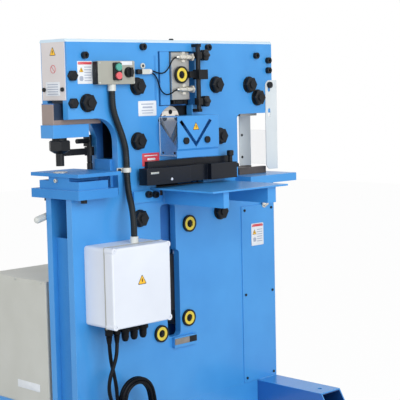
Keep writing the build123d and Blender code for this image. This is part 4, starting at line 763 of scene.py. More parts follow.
@dataclass
class FloorCables:
    """Mains lead and pedal lead: out of their glands, into one upright coil and along the floor."""

    radius: float = 6.5
    centre: Point = (-301.0, -152.0, 135.0)
    half_width: float = 69.0
    half_run: float = 46.3
    tilt: float = 7.0
    pitch: float = 12.8
    turns: int = 2
    steps: int = 18
    sway: float = 1.6
    layer: float = 6.7
    swing: float = 14.0
    mains_exit: tuple[Point, ...] = (
        (-383, -145, 414), (-383, -145, 382), (-396.5, -157, 349), (-416, -165, 318), (-434, -168, 288),
        (-443, -168, 254), (-439, -166, 220), (-424, -162, 188), (-407, -159, 160),
    )
    pedal_exit: tuple[Point, ...] = (
        (-417, -145, 414), (-417, -145, 388), (-410, -139, 354), (-402, -135, 318), (-395, -139, 280),
        (-391, -144, 240), (-389, -145, 200),
    )
    mains_tail: tuple[Point, ...] = (
        (-254, -171, 15), (-216, -164, 8), (-190, -156, 19), (-168, -152, 24.5), (-146, -152, 24.5),
    )
    pedal_tail: tuple[Point, ...] = (
        (-254, -133, 15), (-222, -120, 8), (-196, -109, 11), (-170, -104, 15.5), (-148, -104, 15.5),
    )

    def loop_point(self, turn: float, inward: float, aside: float) -> Vector:
        """Find a place on the coil.

        Args:
            turn: share of a turn, from 0 at the left limb's middle, down and round to 1.
            inward: distance from the outer side of the bundle's middle line, in millimetres.
            aside: distance to the back, in millimetres.

        Returns:
            The place in metres.
        """
        wide = self.half_width + self.pitch - inward
        run = 2 * self.half_run
        half_turn = run + math.pi * wide
        half, place = divmod((turn % 1.0) * 2 * half_turn + self.half_run, half_turn)
        angle = max(0.0, place - run) / wide
        across = -wide * math.cos(angle)
        along = self.half_run - min(place, run) - wide * math.sin(angle)
        if half % 2:
            across, along = -across, -along
        tip = math.radians(self.tilt)
        x = self.centre[0] + across * math.cos(tip) - along * math.sin(tip)
        z = self.centre[2] + across * math.sin(tip) + along * math.cos(tip)
        return spot(x, self.centre[1] + aside, z)

    def wound(self, side: float) -> list[Vector]:
        """Wind a spiral that runs inward and leaves the bundle on its own side.

        Args:
            side: -1 for the front layer, 1 for the back layer.

        Returns:
            Its control points in metres.
        """
        points = []
        quarter = self.steps // 4
        total = self.turns * self.steps + quarter
        for i in range(1, total + 1):
            turn = i / self.steps
            left_over = (total - i) / (self.steps / 4)
            sway = self.sway * math.sin(2.4 * turn + side)
            aside = side * (self.layer + self.swing * max(0.0, 1.0 - left_over)) + sway
            points.append(self.loop_point(turn, self.pitch * turn + sway * 0.5, aside))
        return points

    def lead(self, name: str, start: Sequence[Point], side: float, tail: Sequence[Point]) -> Piece:
        """One whole lead from its gland through the coil to the far end."""
        line = route_curve(name, spots(start) + self.wound(side) + spots(tail), self.radius)
        return dress(line, Finishes.rubber, "frame")

    def sleeve(self, name: str, start: Point) -> Piece:
        """Make the tapered strain relief below a gland, with grooves that let it bend.

        Args:
            name: the piece's name.
            start: its upper end, in the drawing's millimetres.

        Returns:
            The strain relief.
        """
        profile = [(0.0, 10.5)]
        for i in range(6):
            near, wide = 2.0 + i * 4.0, 10.4 - i * 0.55
            profile += [(near, wide), (near + 2.4, wide - 0.2)]
            profile += [(near + 2.7, wide - 1.3), (near + 3.7, wide - 1.4)]
        profile.append((27.0, 6.7))
        return Shape().lathe(profile, spot(*start), DOWN, 24).piece(name, Finishes.gland, "cable_rubber")

    @staticmethod
    def rim_places(at: Vector, ahead: float, radius: float, count: int) -> list[Vector]:
        """Places in a circle round a line along X, ahead of a start, in millimetres."""
        turns = [2 * math.pi * i / count for i in range(count)]
        return [at + Vector((ahead, radius * math.cos(a), radius * math.sin(a))) * MM for a in turns]

    def plug(self) -> Piece:
        """Make the round industrial plug: ribbed grip, clamp ring, body, skirt and pins.

        Returns:
            The plug.
        """
        at = spot(-148, -152, 26)
        profile = [(0, 9), (1.5, 14)]
        for i in range(6):
            near, wide = 3 + i * 4.6, 17.0 + i * 0.45
            profile += [(near, wide), (near + 2.6, wide + 0.2), (near + 3.2, 16.0 + i * 0.4)]
        profile += [(32, 20), (34, 24.5), (38, 25.8), (46, 25.8), (47, 24.6), (66, 24.6), (67, 25.8),
                    (84, 25.8), (86, 25.0), (86, 22.0), (68, 21.5)]
        shape = Shape().lathe(profile, at, RIGHT, 40)
        for pin in self.rim_places(at, 66, 12.5, 5):
            shape.lathe([(0, 3.0), (15, 3.0), (17, 2.2), (17.6, 1.0)], pin, RIGHT, 14)
        return shape.piece("mains_plug", Finishes.black, "black_plastic")

    def connector(self) -> Piece:
        """Make the round multi-pin connector of the pedal lead, with a knurled nut.

        Returns:
            The connector.
        """
        at = spot(-150, -104, 16)
        profile = [(0, 7.2), (2, 10.5), (20, 11.6), (24, 12.0), (26, 14.6), (28, 15.6), (41, 15.6),
                   (42.5, 14.4), (46, 14.2), (47, 15.4), (60, 15.4), (62, 14.6), (64, 14.0), (64, 12.2),
                   (50, 12.0)]
        shape = Shape().lathe(profile, at, RIGHT, 36)
        for rib in self.rim_places(at, 29, 15.3, 24):
            shape.lathe([(0, 0.4), (1, 0.7), (10, 0.7), (11, 0.4)], rib, RIGHT, 6)
        return shape.piece("pedal_connector", Finishes.nickel, "black_plastic")

    def tie(self) -> Piece:
        """Make the nylon tie round the bundle at the foot of the right limb, with its lock.

        Returns:
            The tie.
        """
        before, middle, after = (self.loop_point(turn, self.pitch, 0.0) for turn in (0.32, 0.33, 0.34))
        ahead = (after - before).normalized()
        out = ahead.cross(TO_BACK)
        edge = ahead * 3.0
        half_high, half_deep, band, sides = 24.0, 18.0, 1.3, 40
        shape = Shape()
        rings = []
        for step in range(sides):
            angle = 2 * math.pi * step / sides
            way = out * (half_high * math.cos(angle)) + TO_BACK * (half_deep * math.sin(angle))
            thick = way.normalized() * band
            ring = [way - edge, way + edge, way + edge + thick, way - edge + thick]
            rings.append(shape.verts([middle + corner * MM for corner in ring]))
        shape.skin(rings + [rings[0]], False)
        lock = middle - TO_BACK * 22.0 * MM
        half_lock = Vector((4, 3, 4)) * MM
        shape.block(lock - half_lock, lock + half_lock, 1.0)
        return shape.piece("coil_tie", Finishes.black, "black_plastic")

    @staticmethod
    def measured(lead: Piece) -> float:
        """Length of a lead's line in metres."""
        points = line_points([Vector(point.co[:3]) for point in lead.data.splines[0].points], 12)
        return sum((b - a).length for a, b in zip(points, points[1:]))

    def build(self) -> None:
        mains = self.lead("mains_lead", self.mains_exit, -1.0, self.mains_tail)
        pedal = self.lead("pedal_lead", self.pedal_exit, 1.0, self.pedal_tail)
        plug = self.plug()
        connector = self.connector()
        tie = self.tie()
        mains_sleeve = self.sleeve("mains_strain_relief", self.mains_exit[0])
        pedal_sleeve = self.sleeve("pedal_strain_relief", self.pedal_exit[0])
        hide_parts("mains_cable", "cable_coil")
        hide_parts("pedal_cable")
        log.info("mains lead %.3f m, pedal lead %.3f m", self.measured(mains), self.measured(pedal))
        self.measured(mains)
        self.measured(pedal)


class Face(Enum):
    """Sides that small plates are fixed to: the two ways along the face, and the way out of it."""

    FRONT = ((1, 0, 0), (0, 0, 1), (0, -1, 0))
    PUNCH_END = ((0, -1, 0), (0, 0, 1), (-1, 0, 0))
    REAR = ((-1, 0, 0), (0, 0, 1), (0, 1, 0))

    def on(self, origin: Point, along: float, up: float) -> Vector:
        """A place on the face, in metres, from an origin and two distances in millimetres."""
        across, rise, _ = (Vector(way) for way in self.value)
        return spot(*origin) + (across * along + rise * up) * MM

    def out(self, distance: float) -> Vector:
        """A step out of the face, in metres, from a distance in millimetres."""
        return Vector(self.value[2]) * distance * MM

    def rounded(self, centre: Point, width: float, height: float, corner: float) -> list[Vector]:
        """Draw a rectangle with rounded corners on the face.

        Args:
            centre: its middle, in the drawing's millimetres.
            width: its width in millimetres.
            height: its height in millimetres.
            corner: radius of its corners in millimetres.

        Returns:
            Points of its outline in metres.
        """
        points = []
        for side, end, start in ((1, 1, 0), (-1, 1, 90), (-1, -1, 180), (1, -1, 270)):
            for step in range(5):
                angle = math.radians(start + 22.5 * step)
                along = side * (width / 2 - corner) + corner * math.cos(angle)
                up = end * (height / 2 - corner) + corner * math.sin(angle)
                points.append(self.on(centre, along, up))
        return points


@dataclass
class SmallPlate:
    """A blank plate with rounded corners, riveted at its corners or stuck on."""

    name: str
    face: Face
    centre: Point
    width: float
    height: float
    finish: Finish = Finishes.plate
    thick: float = 1.0
    corner: float = 3.0
    rivets: bool = False
    rivet_inset: float = 4.5

    def build(self) -> None:
        """Make the plate, with rivet heads where it has them."""
        outline = self.face.rounded(self.centre, self.width, self.height, self.corner)
        shape = Shape().plate(outline, self.face.out(self.thick), 0.3)
        along, up = self.width / 2 - self.rivet_inset, self.height / 2 - self.rivet_inset
        corners = ((-1, -1), (-1, 1), (1, -1), (1, 1)) if self.rivets else ()
        for side, end in corners:
            at = self.face.on(self.centre, side * along, end * up)
            shape.lathe([(0, 2.2), (1.4, 2.0), (2.0, 1.2), (2.1, 0.3)], at, self.face.out(1.0), 14)
        shape.piece(self.name, self.finish, "white_plastic")


@dataclass
class SmallPlates:
    """Blank plates where the machine carries its markings, and other thin strips on its faces."""

    plates: tuple[SmallPlate, ...] = (
        SmallPlate("marking_plate_column", Face.FRONT, (-426, -70, 1304), 64, 76),
        SmallPlate("marking_plate_body", Face.FRONT, (-150.5, -70, 1176.5), 85, 53),
        SmallPlate("marking_plate_red", Face.FRONT, (-140.5, -70, 996), 81, 46, Finishes.red_plate),
        SmallPlate("marking_plate_panel", Face.FRONT, (400, -73.9, 675), 68, 86, rivets=True),
        SmallPlate("marking_plate_end", Face.PUNCH_END, (-505, 3.5, 1251), 77, 47),
        SmallPlate("rating_plate_cabinet", Face.PUNCH_END, (-498, 211, 203), 132, 28, rivets=True),
        SmallPlate("legend_strip", Face.FRONT, (-268, -99.6, 1333.5), 54, 13, Finishes.plate, 0.8, 1.5),
        SmallPlate("hold_down_plate", Face.FRONT, (-176, -130.1, 952), 38, 7, Finishes.zinc, 0.6, 1.0),
        SmallPlate("ledge_wear_strip", Face.FRONT, (-22, -84.1, 327), 72, 22, Finishes.worn, 2.0, 1.0),
        SmallPlate("ledge_end_strip", Face.FRONT, (33, -84.1, 327), 36, 22, Finishes.oxide, 2.0, 1.0),
        # painted shade: a darker blue strip standing in for the shade of the window's groove
        SmallPlate("window_rib", Face.FRONT, (-109, -70, 1275), 9, 176, Finishes.painted_shade_blue, 0.8, 2.0),
    )

    def build(self) -> None:
        """Make each plate."""
        for plate in self.plates:
            plate.build()


@dataclass
class PlainSigns:
    """Plain marks with no words: triangles, a ring, and fields and bars of colour on the marking plates."""

    column: Point = (-426, -71.0, 1304)
    panel: Point = (400, -74.9, 675)
    body: Point = (-150.5, -71.0, 1176.5)
    red: Point = (-140.5, -71.0, 996)
    end: Point = (-506.0, 3.5, 1251)
    film: float = 0.3
    bar: float = 3.2

    @staticmethod
    def corners(face: Face, centre: Point, reach: float) -> list[Vector]:
        """Draw a triangle with rounded corners.

        Args:
            face: the face that it lies on.
            centre: its middle, in the drawing's millimetres.
            reach: distance from its middle to a corner, in millimetres.

        Returns:
            Points of its outline in metres.
        """
        round_off = reach * 0.12
        inner = reach - 2 * round_off
        points = []
        for corner in (90, 210, 330):
            out = math.radians(corner)
            for turn in (-60, -30, 0, 30, 60):
                bend = math.radians(corner + turn)
                along = inner * math.cos(out) + round_off * math.cos(bend)
                up = inner * math.sin(out) + round_off * math.sin(bend)
                points.append(face.on(centre, along, up))
        return points

    def triangle(self, name: str, face: Face, centre: Point, size: float) -> None:
        """Make a yellow triangle with a dark rim and one dark stroke.

        Args:
            name: the piece's name.
            face: the face that it is stuck on.
            centre: its middle, in the drawing's millimetres.
            size: distance from its middle to a corner, in millimetres.
        """
        film = face.out(self.film)
        rim = Shape().plate(self.corners(face, centre, size), film, 0.05)
        stroke = [(-0.07, -0.16), (0.07, -0.16), (0.11, 0.34), (-0.11, 0.34)]
        rim.plate([face.on(centre, size * a, size * u) + film * 2 for a, u in stroke], film, 0.02)
        rim.piece(f"{name}_rim", Finishes.black, "black_plastic")
        inside = [point + film for point in self.corners(face, centre, size * 0.82)]
        Shape().plate(inside, film, 0.05).piece(name, Finishes.sign_yellow, "yellow_plastic")

    def ring(self, name: str, face: Face, centre: Point, radius: float) -> None:
        """Make a red ring with a bar across.

        Args:
            name: the piece's name.
            face: the face that it is stuck on.
            centre: its middle, in the drawing's millimetres.
            radius: its radius in millimetres.
        """
        side, end = radius * 0.08, radius * 0.84
        around = [math.radians(10 * step) for step in range(37)]
        circle = [face.on(centre, radius * math.cos(a), radius * math.sin(a)) for a in around]
        shape = Shape().tube(circle, lambda run: side, 8)
        lean = math.cos(math.radians(45))
        corners = [face.on(centre, (a - u) * lean, (a + u) * lean)
                   for a, u in ((-side, -end), (side, -end), (side, end), (-side, end))]
        shape.plate(corners, face.out(self.film), 0.02)
        shape.piece(name, Finishes.red_plate, "red_plastic")

    def bars(self, name: str, face: Face, centre: Point, rows: Sequence[tuple[float, ...]],
             finish: Finish = Finishes.ink, slot: str = "grey_plastic") -> None:
        """Make bars of one colour on a plate.

        Args:
            name: the piece's name.
            face: the plate's face.
            centre: the plate's middle, in the drawing's millimetres.
            rows: along, up, width and height of each bar from the plate's middle, in millimetres.
            finish: their finish.
            slot: the record's material slot.
        """
        shape = Shape()
        for along, up, width, height in rows:
            middle = face.on(centre, along, up) - face.on(centre, 0, 0)
            outline = face.rounded(centre, width, height, min(width, height) * 0.3)
            shape.plate([point + middle for point in outline], face.out(self.film), 0.03)
        shape.piece(name, finish, slot)

    def build(self) -> None:
        """Make all the marks."""
        front, end = Face.FRONT, Face.PUNCH_END
        self.triangle("sign_electric_box", front, (-325, -217.0, 601), 23)
        self.triangle("sign_angle_guard", front, (-8, -167.0, 1106), 19)
        self.triangle("sign_end_cover", end, (-505.0, 0.0, 1372), 20)
        self.ring("sign_end_ring", end, (-505.0, 0.0, 1317), 13)
        red = (Finishes.red_plate, "red_plastic")
        self.bars("sign_column_band", front, self.column, ((0, 31, 60, 9),), *red)
        self.bars("sign_panel_band", front, self.panel, ((0, 35, 62, 10),), *red)
        self.triangle("sign_column", front, (-442, self.column[1], 1311), 11)
        self.triangle("sign_panel", front, (383, self.panel[1], 682), 13)
        lines = [(12, up, 30, self.bar) for up in (18, 9, 0, -9, -18, -27)] + [(-16, -20, 16, 16)]
        self.bars("print_column", front, self.column, lines)
        self.bars("print_panel", front, self.panel, lines)
        rows = ((0, 15, 58, 4), (0, 4, 46, 6), (0, -7, 56, self.bar), (0, -16, 50, self.bar))
        self.bars("print_body", front, self.body, rows)
        rows = ((0, 14, 62, self.bar), (2, 1, 38, 8), (0, -13, 58, self.bar))
        self.bars("print_red", front, self.red, rows, Finishes.plate, "white_plastic")
        self.bars("print_end", end, self.end, [(0, up, 58, self.bar) for up in (15, 7, -1, -9, -17)])


@dataclass
class StationDetails:
    """Fine pieces of the punch, the angle shear and the tool station."""

    edge_left: float = -97.3
    edge_right: float = -93.7

    def clamp(self) -> None:
        """Black bar under the ram block that clamps the angle blade, with two socket screws."""
        shape = Shape().block(spot(-18, -65, 1187), spot(50, -30.2, 1203.6), 1.2)
        for x in (-4, 35):
            shape.screw(spot(x, -64.9, 1195.4), TO_FRONT, 5.5, 3.5)
        shape.piece("blade_clamp", Finishes.oxide, "black_steel", "yoke")

    def blade_screws(self) -> None:
        """Dark socket screws that hold the moving angle blade."""
        shape = Shape()
        for x, z, wide in ((-14, 1160, 8.2), (-43, 1138, 10.5), (15, 1138, 10.5)):
            shape.screw(spot(x, -40.7, z), TO_FRONT, wide, 2.6)
        shape.piece("blade_screws", Finishes.oxide, "black_steel", "yoke")

    def window_edges(self) -> None:
        """Sawn edges of the guard's clear side, which catch the light."""
        shape = Shape()
        for near, far, low, high in ((-73.0, -70.6, 1007, 1144), (-157.0, -73.2, 1006.8, 1008.6),
                                     (-157.0, -73.2, 1142.4, 1144.2)):
            shape.block(spot(self.edge_left, near, low), spot(self.edge_right, far, high), 0.5)
        shape.piece("guard_window_edges", Finishes.sawn, "clear_plastic")

    def build(self) -> None:
        """Make each piece, and the screws of the die, the angle guard and the tool guard."""
        screw_set("die_clamp_screw", [(-510.2, -5.6, 944)], LEFT, 7.0, 7.5, Finishes.zinc, "bare_steel")
        self.clamp()
        self.window_edges()
        self.blade_screws()
        screw_set("guard_screws", [(-97.2, y, 1018) for y in (-150, -90)], LEFT, 4.0, 2.6, Finishes.oxide,
                  "black_steel")
        screw_set("tool_guard_screws", [(474, 70.4, z) for z in (966, 1053)], TO_FRONT, 5.0, 2.6,
                  Finishes.oxide, "black_steel", "tool_guard")


@dataclass
class SensorLeads:
    """Leads from the stroke sensors to the clamp on the frame, and the nuts on the sensors."""

    radius: float = 2.4
    tail_x: float = -4.0
    tail_y: float = -85.3
    upper_z: float = 1355.0
    lower_z: float = 1240.1
    clamp_x: float = -148.3
    clamp_y: float = -78.0
    straight: float = 20.0
    upper_route: tuple[Point, ...] = (
        (-38, -82, 1343), (-52, -80, 1317), (-72, -79, 1299), (-100, -78.5, 1298),
    )
    lower_route: tuple[Point, ...] = (
        (-40, -82.5, 1228), (-64, -80.5, 1221), (-86, -79.5, 1231), (-100, -79, 1254), (-108, -78.5, 1284),
    )

    def lead(self, name: str, node: str, high: float, route: Sequence[Point], end: float) -> None:
        """Make one lead as a round tube along the smooth line of its route.

        Args:
            name: the piece's name.
            node: the solid that it stands for.
            high: height of the sensor's tail.
            route: points between the tail and the clamp.
            end: height of its end at the clamp.
        """
        start = spot(self.tail_x, self.tail_y, high)
        stop = spot(self.clamp_x, self.clamp_y, end)
        step = RIGHT * self.straight * MM
        points = [start, start - step, *spots(route), stop + step, stop]
        shape = Shape().tube(line_points(points, 8), lambda run: self.radius, 12)
        piece = shape.piece(name, Finishes.rubber, "cable_rubber", None)
        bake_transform(piece)
        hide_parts(node)

    def nuts(self) -> None:
        """Round holder, flanged nut and tapered tail of each sensor."""
        shape = Shape()
        wide, flat, middle = 11.5, -76.2, -86.5
        turns = [math.pi * i / 8 for i in range(1, 8)]
        for z in (self.upper_z, self.lower_z):
            ring = [(flat, -wide), (middle, -wide)]
            ring += [(middle - wide * math.sin(a), -wide * math.cos(a)) for a in turns]
            ring += [(middle, wide), (flat, wide)]
            shape.plate([spot(25.0, y, z + up) for y, up in ring], RIGHT * 23.0 * MM, 1.2)
            nut = [(0, 13.6), (1, 14.6), (6, 14.6), (7, 13.6), (7.2, 9.4)]
            shape.lathe(nut, spot(60.0, self.tail_y, z), LEFT, 6)
            shape.lathe([(0, 5.6), (8, 5.0), (13, 3.4), (14, 2.6)], spot(-4.2, self.tail_y, z), LEFT, 20)
        shape.piece("sensor_holders", Finishes.nickel, "bare_steel", "yoke")

    def entry(self) -> None:
        """White gland where the leads end, black boot behind it and plug of the grommet above."""
        gland = [(0, 8.2), (1.5, 9.4), (10, 9.4), (11, 8.6), (14, 6.6), (15, 5.0)]
        shape = Shape().lathe(gland, spot(-149, -79.4, 1304.8), RIGHT, 6)
        shape.piece("lead_gland", Finishes.plate, "white_plastic")
        shape = Shape().block(spot(-203, -85.5, 1296.5), spot(-182.4, -70.2, 1313.5), 2.5, 3)
        plug = [(0, 4.6), (5, 4.6), (6.5, 4.0), (7.0, 2.4), (7.2, 0.3)]
        shape.lathe(plug, spot(-169.3, -70.2, 1325), TO_FRONT, 20)
        shape.piece("lead_entry", Finishes.black, "black_plastic")

    def build(self) -> None:
        """Make both leads, the nuts and where the leads go into the frame."""
        self.lead("upper_sensor_lead", "upper_sensor_cable", self.upper_z, self.upper_route, 1308.4)
        self.lead("lower_sensor_lead", "lower_sensor_cable", self.lower_z, self.lower_route, 1301.2)
        self.nuts()
        self.entry()


@dataclass
class Conduit:
    """Corrugated conduit from the button box down to the electric box."""

    radius: float = 11.5
    pitch: float = 6.0
    depth: float = 1.0
    route: tuple[Point, ...] = (
        (-322.644, -84.5, 1240.34), (-322.644, -84.5, 1206.34), (-319, -84.5, 1178), (-310, -84.3, 1149),
        (-286, -84, 1098), (-268, -84, 1046), (-265, -84, 992), (-265, -84, 942), (-266.8, -88.1, 916.9),
        (-270.5, -96.1, 893), (-275.7, -107.7, 870.9), (-281.9, -121.3, 853.4), (-287.1, -132.9, 831.4),
        (-290.8, -140.9, 807.4), (-292.584, -145, 782.26), (-292.584, -145.0, 743.66),
    )

    def ribs(self, run: float) -> float:
        """Radius at a distance along the conduit, both in millimetres."""
        return self.radius - self.depth * (0.5 - 0.5 * math.cos(2 * math.pi / self.pitch * run))

    def build(self) -> None:
        """Make the ribbed tube along the smooth line of its route."""
        shape = Shape().tube(line_points(spots(self.route), 26), self.ribs, 18)
        piece = shape.piece("corrugated_conduit", Finishes.ribbed, "black_plastic")
        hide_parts("conduit")


@dataclass
class ControlDetails:
    """Side strip, screws and caps of the button box; gasket and spare glands of the electric box."""

    box_front: float = -99.5
    cap_x: float = -311.5
    cap_y: float = -113.4
    gland_y: float = -145.0
    gland_rib: float = 16.6

    def box_pieces(self) -> None:
        """Dark strip on the left side of the button box, and the screws of its lid."""
        shape = Shape().block(spot(-394.4, -97.5, 1264), spot(-391.8, -72, 1340), 1.0)
        shape.block(spot(-397.5, -92, 1288), spot(-394.2, -80, 1314), 1.4)
        shape.piece("box_side_strip", Finishes.black, "black_plastic")
        corners = [(x, self.box_front, z) for x in (-385.5, -234.5) for z in (1268.5, 1335.5)]
        screw_set("box_screws", corners, TO_FRONT, 3.4, 1.6, Finishes.zinc, "bare_steel")

    def box_seam(self) -> None:
        """Grey gasket that shows round the electric box between its base and its lid."""
        shape = Shape()
        for left, right, low, high in ((-455.6, -453.2, 449.0, 723.0), (-193.0, -190.6, 449.0, 723.0),
                                       (-453.2, -193.0, 722.6, 724.8), (-453.2, -193.0, 447.2, 449.4)):
            shape.block(spot(left, -176.6, low), spot(right, -174.4, high), 0.4)
        shape.piece("electric_box_gasket", Finishes.grey, "grey_plastic")

    def gland_plugs(self) -> None:
        """Long blanking plugs in the three spare glands."""
        shape = Shape()
        nut = [(0, 15.4), (1.2, 17.0), (15, 17.0), (16.5, 15.6), (17.5, 13.4)]
        cap = [(17.5, 13.4), (24, 13.2), (36, 12.6), (44, 10.4), (48, 6.6), (49.5, 0.4)]
        for x in (-345.7, -305.6, -264.5):
            shape.lathe(nut + cap, spot(x, self.gland_y, 436.0), DOWN, 36)
            for side in range(6):
                turn = math.radians(60 * side + 20)
                across, back = self.gland_rib * math.cos(turn), self.gland_rib * math.sin(turn)
                rib = spot(x + across, self.gland_y + back, 434.0)
                shape.lathe([(0, 1.6), (1, 2.4), (11, 2.4), (12, 1.6)], rib, DOWN, 10)
        shape.piece("spare_gland_plugs", Finishes.gland, "black_plastic")

    def button_caps(self) -> None:
        """Wide dished caps over the two push buttons."""
        dish = [(0, 12.2), (0.5, 12.7), (1.2, 12.7), (1.7, 12.1), (1.4, 10.5), (0.8, 5.0), (0.7, 0.3)]
        for name, z, finish, slot in (("start", 1320.5, Finishes.green, "green_plastic"),
                                      ("stop", 1291.5, Finishes.red, "red_plastic")):
            shape = Shape().lathe(dish, spot(self.cap_x, self.cap_y, z), TO_FRONT, 36)
            shape.piece(f"{name}_cap", finish, slot, f"{name}_button")

    def build(self) -> None:
        """Make each piece."""
        self.box_pieces()
        self.box_seam()
        self.gland_plugs()
        self.button_caps()


@dataclass
class HandKnobs:
    """Lobed hand knobs on the two dogs of the stroke rod."""

    x: float = 98.0
    y: float = -95.0
    upper_z: float = 1362.0
    lower_z: float = 1195.0

    def build(self) -> None:
        """Make one knob round the plain end of each dog's screw."""
        profile = [(0, 8), (1, 13), (4, 18.6), (8, 20), (20, 20), (24, 18.6), (27, 13), (27.6, 8), (28, 0.5)]
        for body, z in (("upper_dog", self.upper_z), ("lower_dog", self.lower_z)):
            shape = Shape().lathe(profile, spot(self.x, self.y, z), RIGHT, 48, 6)
            shape.piece(f"{body}_knob", Finishes.black, "black_plastic", body)


@dataclass
class OffcutFlap:
    """Rubber flap behind the exit of a shear, hung clear of the offcuts on a bent strip."""

    name: str
    top: float
    low: float
    width: float = 284.0
    rear: float = 70.2
    hang: float = 114.0
    sheet: float = 3.0
    rows: int = 9

    def build(self) -> None:
        """Make the strip and the flap."""
        half, rear, top = self.width / 2, self.rear, self.top
        strip = Shape().block(spot(-half, rear, top - self.sheet), spot(half, self.hang + 4, top), 0.8)
        strip.block(spot(-half, rear, top), spot(half, rear + self.sheet, top + 24), 0.8)
        for x in (-100, 0, 100):
            strip.screw(spot(x, rear + self.sheet, top + 13), TO_BACK, 6.0, 4.0)
        strip.piece(self.name + "_strip", Finishes.blue, "blue_paint")
        flap = Shape()
        rings = []
        start = top - 3.2
        for i in range(self.rows):
            share = i / (self.rows - 1)
            z = start - share * (start - self.low)
            middle = self.hang + 2.4 * math.sin(math.pi * share)
            ring = ((-half, middle - 2), (half, middle - 2), (half, middle + 2), (-half, middle + 2))
            rings.append(flap.verts([spot(x, y, z) for x, y in ring]))
        flap.skin(rings)
        flap.piece(self.name, Finishes.rubber, "cable_rubber")


@dataclass
class PlateSkirts:
    """Lower ends of the two side plates, which reach down between the feet to the floor."""

    half: float = 390.5
    top: float = 100.0
    low: float = 1.0
    pad_inset: float = 40.0
    pad_half: float = 30.0

    def build(self) -> None:
        """Make both ends, each on two low pads."""
        for name, near, far in (("front_plate_skirt", -70.0, -42.0), ("rear_plate_skirt", 42.0, 70.0)):
            shape = Shape().block(spot(-self.half, near, self.low), spot(self.half, far, self.top), 0.05, 1)
            for x in (-self.half + self.pad_inset, self.half - self.pad_inset):
                under = spot(x - self.pad_half, near + 3, self.low - 0.6)
                shape.block(under, spot(x + self.pad_half, far - 3, self.low + 0.2), 0.2, 1)
            shape.piece(name, Finishes.skirt, "blue_paint")


@dataclass
class Welds:
    """Fillet welds where the table's arms and the feet join the plates."""

    size: float = 5.0
    ripple: float = 0.14
    feet_z: float = 100.8

    def bead(self, shape: Shape, start: Point, end: Point) -> None:
        """Add one rippled bead.

        Args:
            shape: the mesh that takes it.
            start: one end, in the drawing's millimetres.
            end: the other end.
        """
        near, far = spot(*start), spot(*end)
        count = max(6, int((far - near).length / MM / 2.4))
        line = [near.lerp(far, i / count) for i in range(count + 1)]
        shape.tube(line, lambda run: self.size * (1 - self.ripple + self.ripple * math.cos(run * 1.15)), 8)

    def build(self) -> None:
        """Make every bead as one piece; the left foot has none at the rear plate."""
        shape = Shape()
        for low, y in ((-501.0, -71.5), (391.0, -71.5), (391.0, 71.5)):
            self.bead(shape, (low + 6, y, self.feet_z), (low + 104, y, self.feet_z))
        for x in (-83.8, -56.2, 138.2, 181.8):
            self.bead(shape, (x, -71.0, 838), (x, -71.0, 884))
        shape.piece("weld_beads", Finishes.weld, "blue_paint")


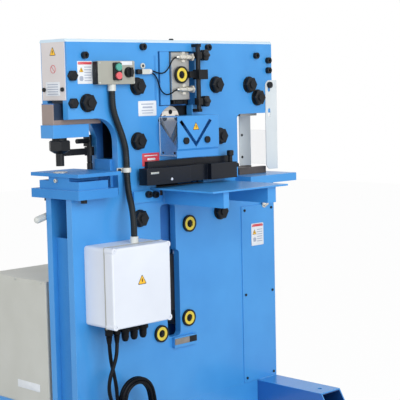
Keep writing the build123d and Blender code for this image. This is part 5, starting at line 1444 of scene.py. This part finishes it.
@dataclass
class CabinetDetails:
    """Louvres, filler breather, sight gauge and lid screws of the power unit's cabinet."""

    left: float = -498.0
    right: float = 202.0
    back: float = 438.5
    top: float = 587.0
    screw_z: float = 581.0

    def louvres(self) -> None:
        """Pressed louvres in the rear wall."""
        shape = Shape()
        outline = ((-70, -4), (70, -4), (74, 0), (70, 6), (-70, 6), (-74, 0))
        for row in range(7):
            centre = (-340, self.back, 250 + row * 24)
            corners = [Face.REAR.on(centre, along, up) for along, up in outline]
            shape.plate(corners, Face.REAR.out(4.5), 2.4)
        shape.piece("cabinet_louvres", Finishes.cabinet, "grey_paint")

    def breather(self) -> None:
        """Filler cap with breather on the lid."""
        profile = [(0, 30), (4, 30), (5, 24), (8, 23), (9, 28)]
        profile += [(10 + i * 2, 29.0 if i % 2 else 28.2) for i in range(12)]
        profile += [(35, 28), (38, 24), (39, 10), (39.2, 0.5)]
        shape = Shape().lathe(profile, spot(90, 330, self.top), UP, 40)
        shape.piece("tank_breather", Finishes.black, "black_plastic")

    def gauge(self) -> None:
        """Oil level gauge on the rear wall: two screws and a yellow bar in a frame."""
        shape = Shape().block(spot(80, self.back, 180), spot(116, self.back + 9, 262), 3.0, 3)
        for z in (192, 250):
            shape.screw(spot(98, self.back + 8.9, z), TO_BACK, 7.0, 4.0)
        shape.piece("oil_gauge_frame", Finishes.black, "black_plastic")
        glass = Shape().block(spot(92, self.back + 8.5, 204), spot(104, self.back + 11, 238), 1.0)
        glass.piece("oil_gauge_glass", Finishes.yellow, "yellow_plastic")

    def screws(self) -> None:
        """Screws of the lid, along its rear edge and its ends."""
        rows = [(x, self.back, TO_BACK) for x in (-470, -300, -148, 10, 175)]
        for y in (120, 270, 410):
            rows += [(self.left, y, LEFT), (self.right, y, RIGHT)]
        shape = Shape()
        for x, y, way in rows:
            shape.screw(spot(x, y, self.screw_z), way, 4.5, 2.4)
        shape.piece("cabinet_screws", Finishes.zinc, "bare_steel")

    def build(self) -> None:
        """Make each piece."""
        self.louvres()
        self.breather()
        self.gauge()
        self.screws()


@dataclass
class FrontFittings:
    """White dot on the hold-down, and the plated wing nut on the stud beside the access panel."""

    dot: Point = (-96, -130.1, 926)
    stud: Point = (442.0, -73.0, 788.0)

    def build(self) -> None:
        """Make the dot, then the nut's hub on its stud with two wings."""
        shape = Shape().lathe([(0, 5.0), (1.2, 5.0), (1.8, 4.2), (1.9, 0.4)], spot(*self.dot), TO_FRONT, 24)
        shape.piece("hold_down_dot", Finishes.white, "white_plastic")
        hub = [(0, 13), (2, 13), (2.4, 9), (10, 8), (12, 6), (12.2, 4), (16, 4), (16.5, 3)]
        shape = Shape().lathe(hub, spot(*self.stud), TO_FRONT, 24)
        x, y, z = self.stud
        for near, far in ((-17, -6), (6, 17)):
            shape.block(spot(x + near, y - 11, z - 3), spot(x + far, y - 3, z + 12), 3.0, 3)
        shape.piece("panel_wing_nut", Finishes.nickel, "bare_steel")


def main() -> None:
    """Build the studio and every sub-assembly in order."""
    for assembly in (Studio, Coat, FloorCables, Conduit, SensorLeads, SmallPlates, PlainSigns, StationDetails,
                     ControlDetails, HandKnobs, CabinetDetails, PlateSkirts, Welds, FrontFittings):
        assembly().build()
    OffcutFlap("flat_exit_flap", 966.0, 846.0, 330.0).build()
    OffcutFlap("angle_exit_flap", 1208.0, 1006.0).build()


if __name__ == "__main__":
    main()
